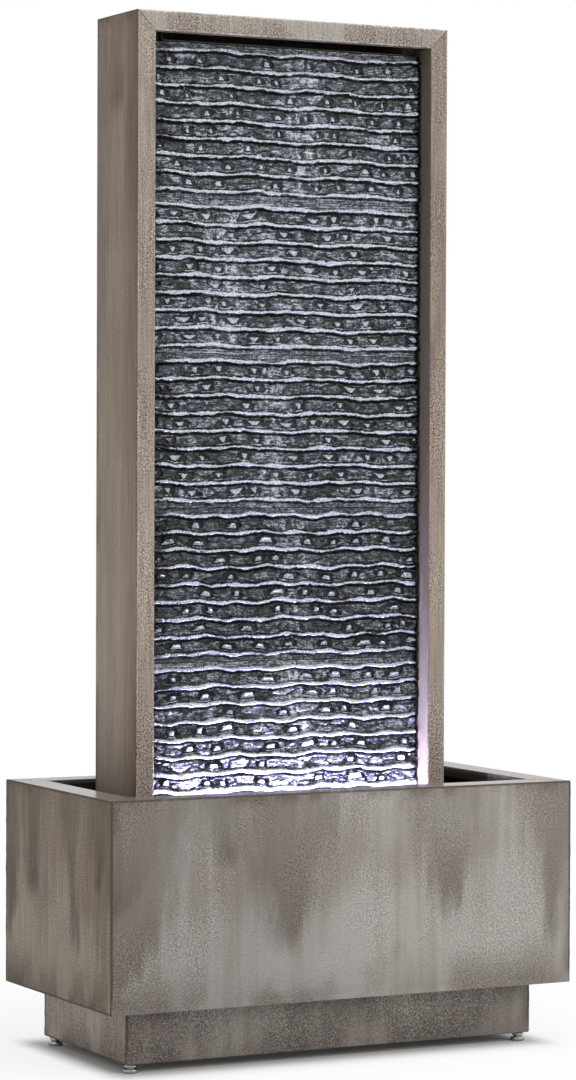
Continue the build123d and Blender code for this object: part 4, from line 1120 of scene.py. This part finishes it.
# %% Welded seams
def seam_finish():
    """Dark crust with paler specks."""
    finish = Finish("seam patina", Specular_IOR_Level=0.2)
    crust = finish.noise(700.0, 2.0, 0.7)
    colour = finish.blend(crust.rise(0.35, 0.68), (0.040, 0.028, 0.021), (0.150, 0.118, 0.096))
    finish.set(Base_Color=colour)
    finish.set(Roughness=crust * 0.3 + 0.5)
    finish.bump(crust, 0.0003, 0.6)
    return finish.material


def seam_tree():
    """A thin uneven bead from one point to another."""
    made = Tree("seam", Start="Vector", End="Vector", Radius="Float", Pieces="Int", Material="Material")
    add = made.add
    line = add("GeometryNodeCurvePrimitiveLine", made.given["Start"], made.given["End"])
    line = add("GeometryNodeResampleCurve", line, None, made.given["Pieces"])
    place = add("GeometryNodeInputPosition")
    shake = add("ShaderNodeTexNoise", place, 90.0, 2.0, out=1)
    shake = add("ShaderNodeVectorMath", shake, (0.5, 0.5, 0.5), operation="SUBTRACT")
    shake = add("ShaderNodeVectorMath", shake, (0.0012, 0.0012, 0.0012), operation="MULTIPLY")
    line = add("GeometryNodeSetPosition", line, None, None, shake)
    thickness = noise(made.tree, place, 170.0, 2.0) * 1.6 + 0.2
    profile = add("GeometryNodeCurvePrimitiveCircle", 8, made.given["Radius"])
    made.finish(add("GeometryNodeCurveToMesh", line, profile, thickness, True))
    return made


basin_low, basin_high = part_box("basin_front_panel")[0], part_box("basin_back_panel")[1]
plinth_low, plinth_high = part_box("plinth_front_panel")[0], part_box("plinth_back_panel")[1]
tower_low, tower_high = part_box("tower_left_stile")[0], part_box("tower_right_stile")[1]
CORNER_BEAD = 0.0006
MITRE_BEAD = 0.0004
BASIN_INSET = 0.0004
PLINTH_INSET = 0.0003
RIM_INSET = 0.0003
FACE_INSET = 0.0001
END_GAP = 0.001
RIM = 0.038
FACE = 0.0235
BEAD_STEP = 0.004

seams = []
for side in (-1, 1):
    for end, y in (("front", basin_low.y), ("back", basin_high.y)):
        x = side * (basin_high.x - BASIN_INSET)
        y -= math.copysign(BASIN_INSET, y)
        top = basin_high.z - RIM_INSET
        ends = [Vector((x, y, z)) for z in (basin_low.z + END_GAP, top - END_GAP)]
        seams.append((f"basin_corner_{end}", *ends, CORNER_BEAD))
        inner = Vector((x - side * (RIM - END_GAP), y - math.copysign(RIM - END_GAP, y), top))
        seams.append((f"rim_mitre_{end}", Vector((x, y, top)), inner, MITRE_BEAD))
    for end, y in (("front", plinth_low.y), ("back", plinth_high.y)):
        x = side * (plinth_high.x - PLINTH_INSET)
        y -= math.copysign(PLINTH_INSET, y)
        ends = [Vector((x, y, z)) for z in (plinth_low.z + END_GAP, plinth_high.z - END_GAP)]
        seams.append((f"plinth_corner_{end}", *ends, CORNER_BEAD))
    outer = Vector((side * (tower_high.x - END_GAP), tower_low.y + FACE_INSET, tower_high.z - END_GAP))
    inner = outer - Vector((side * (FACE - 2 * END_GAP), 0, FACE - 2 * END_GAP))
    seams.append(("tower_mitre", outer, inner, MITRE_BEAD))

seam = seam_tree()
seam_patina = seam_finish()
for index, (name, start, end, radius) in enumerate(seams):
    grown(
        f"seam_{name}_{index}",
        seam,
        "sheet_patina",
        "root",
        Start=start,
        End=end,
        Radius=radius,
        Pieces=max(8, int((end - start).length / BEAD_STEP)),
        Material=seam_patina,
    )
print("seams:", len(seams))
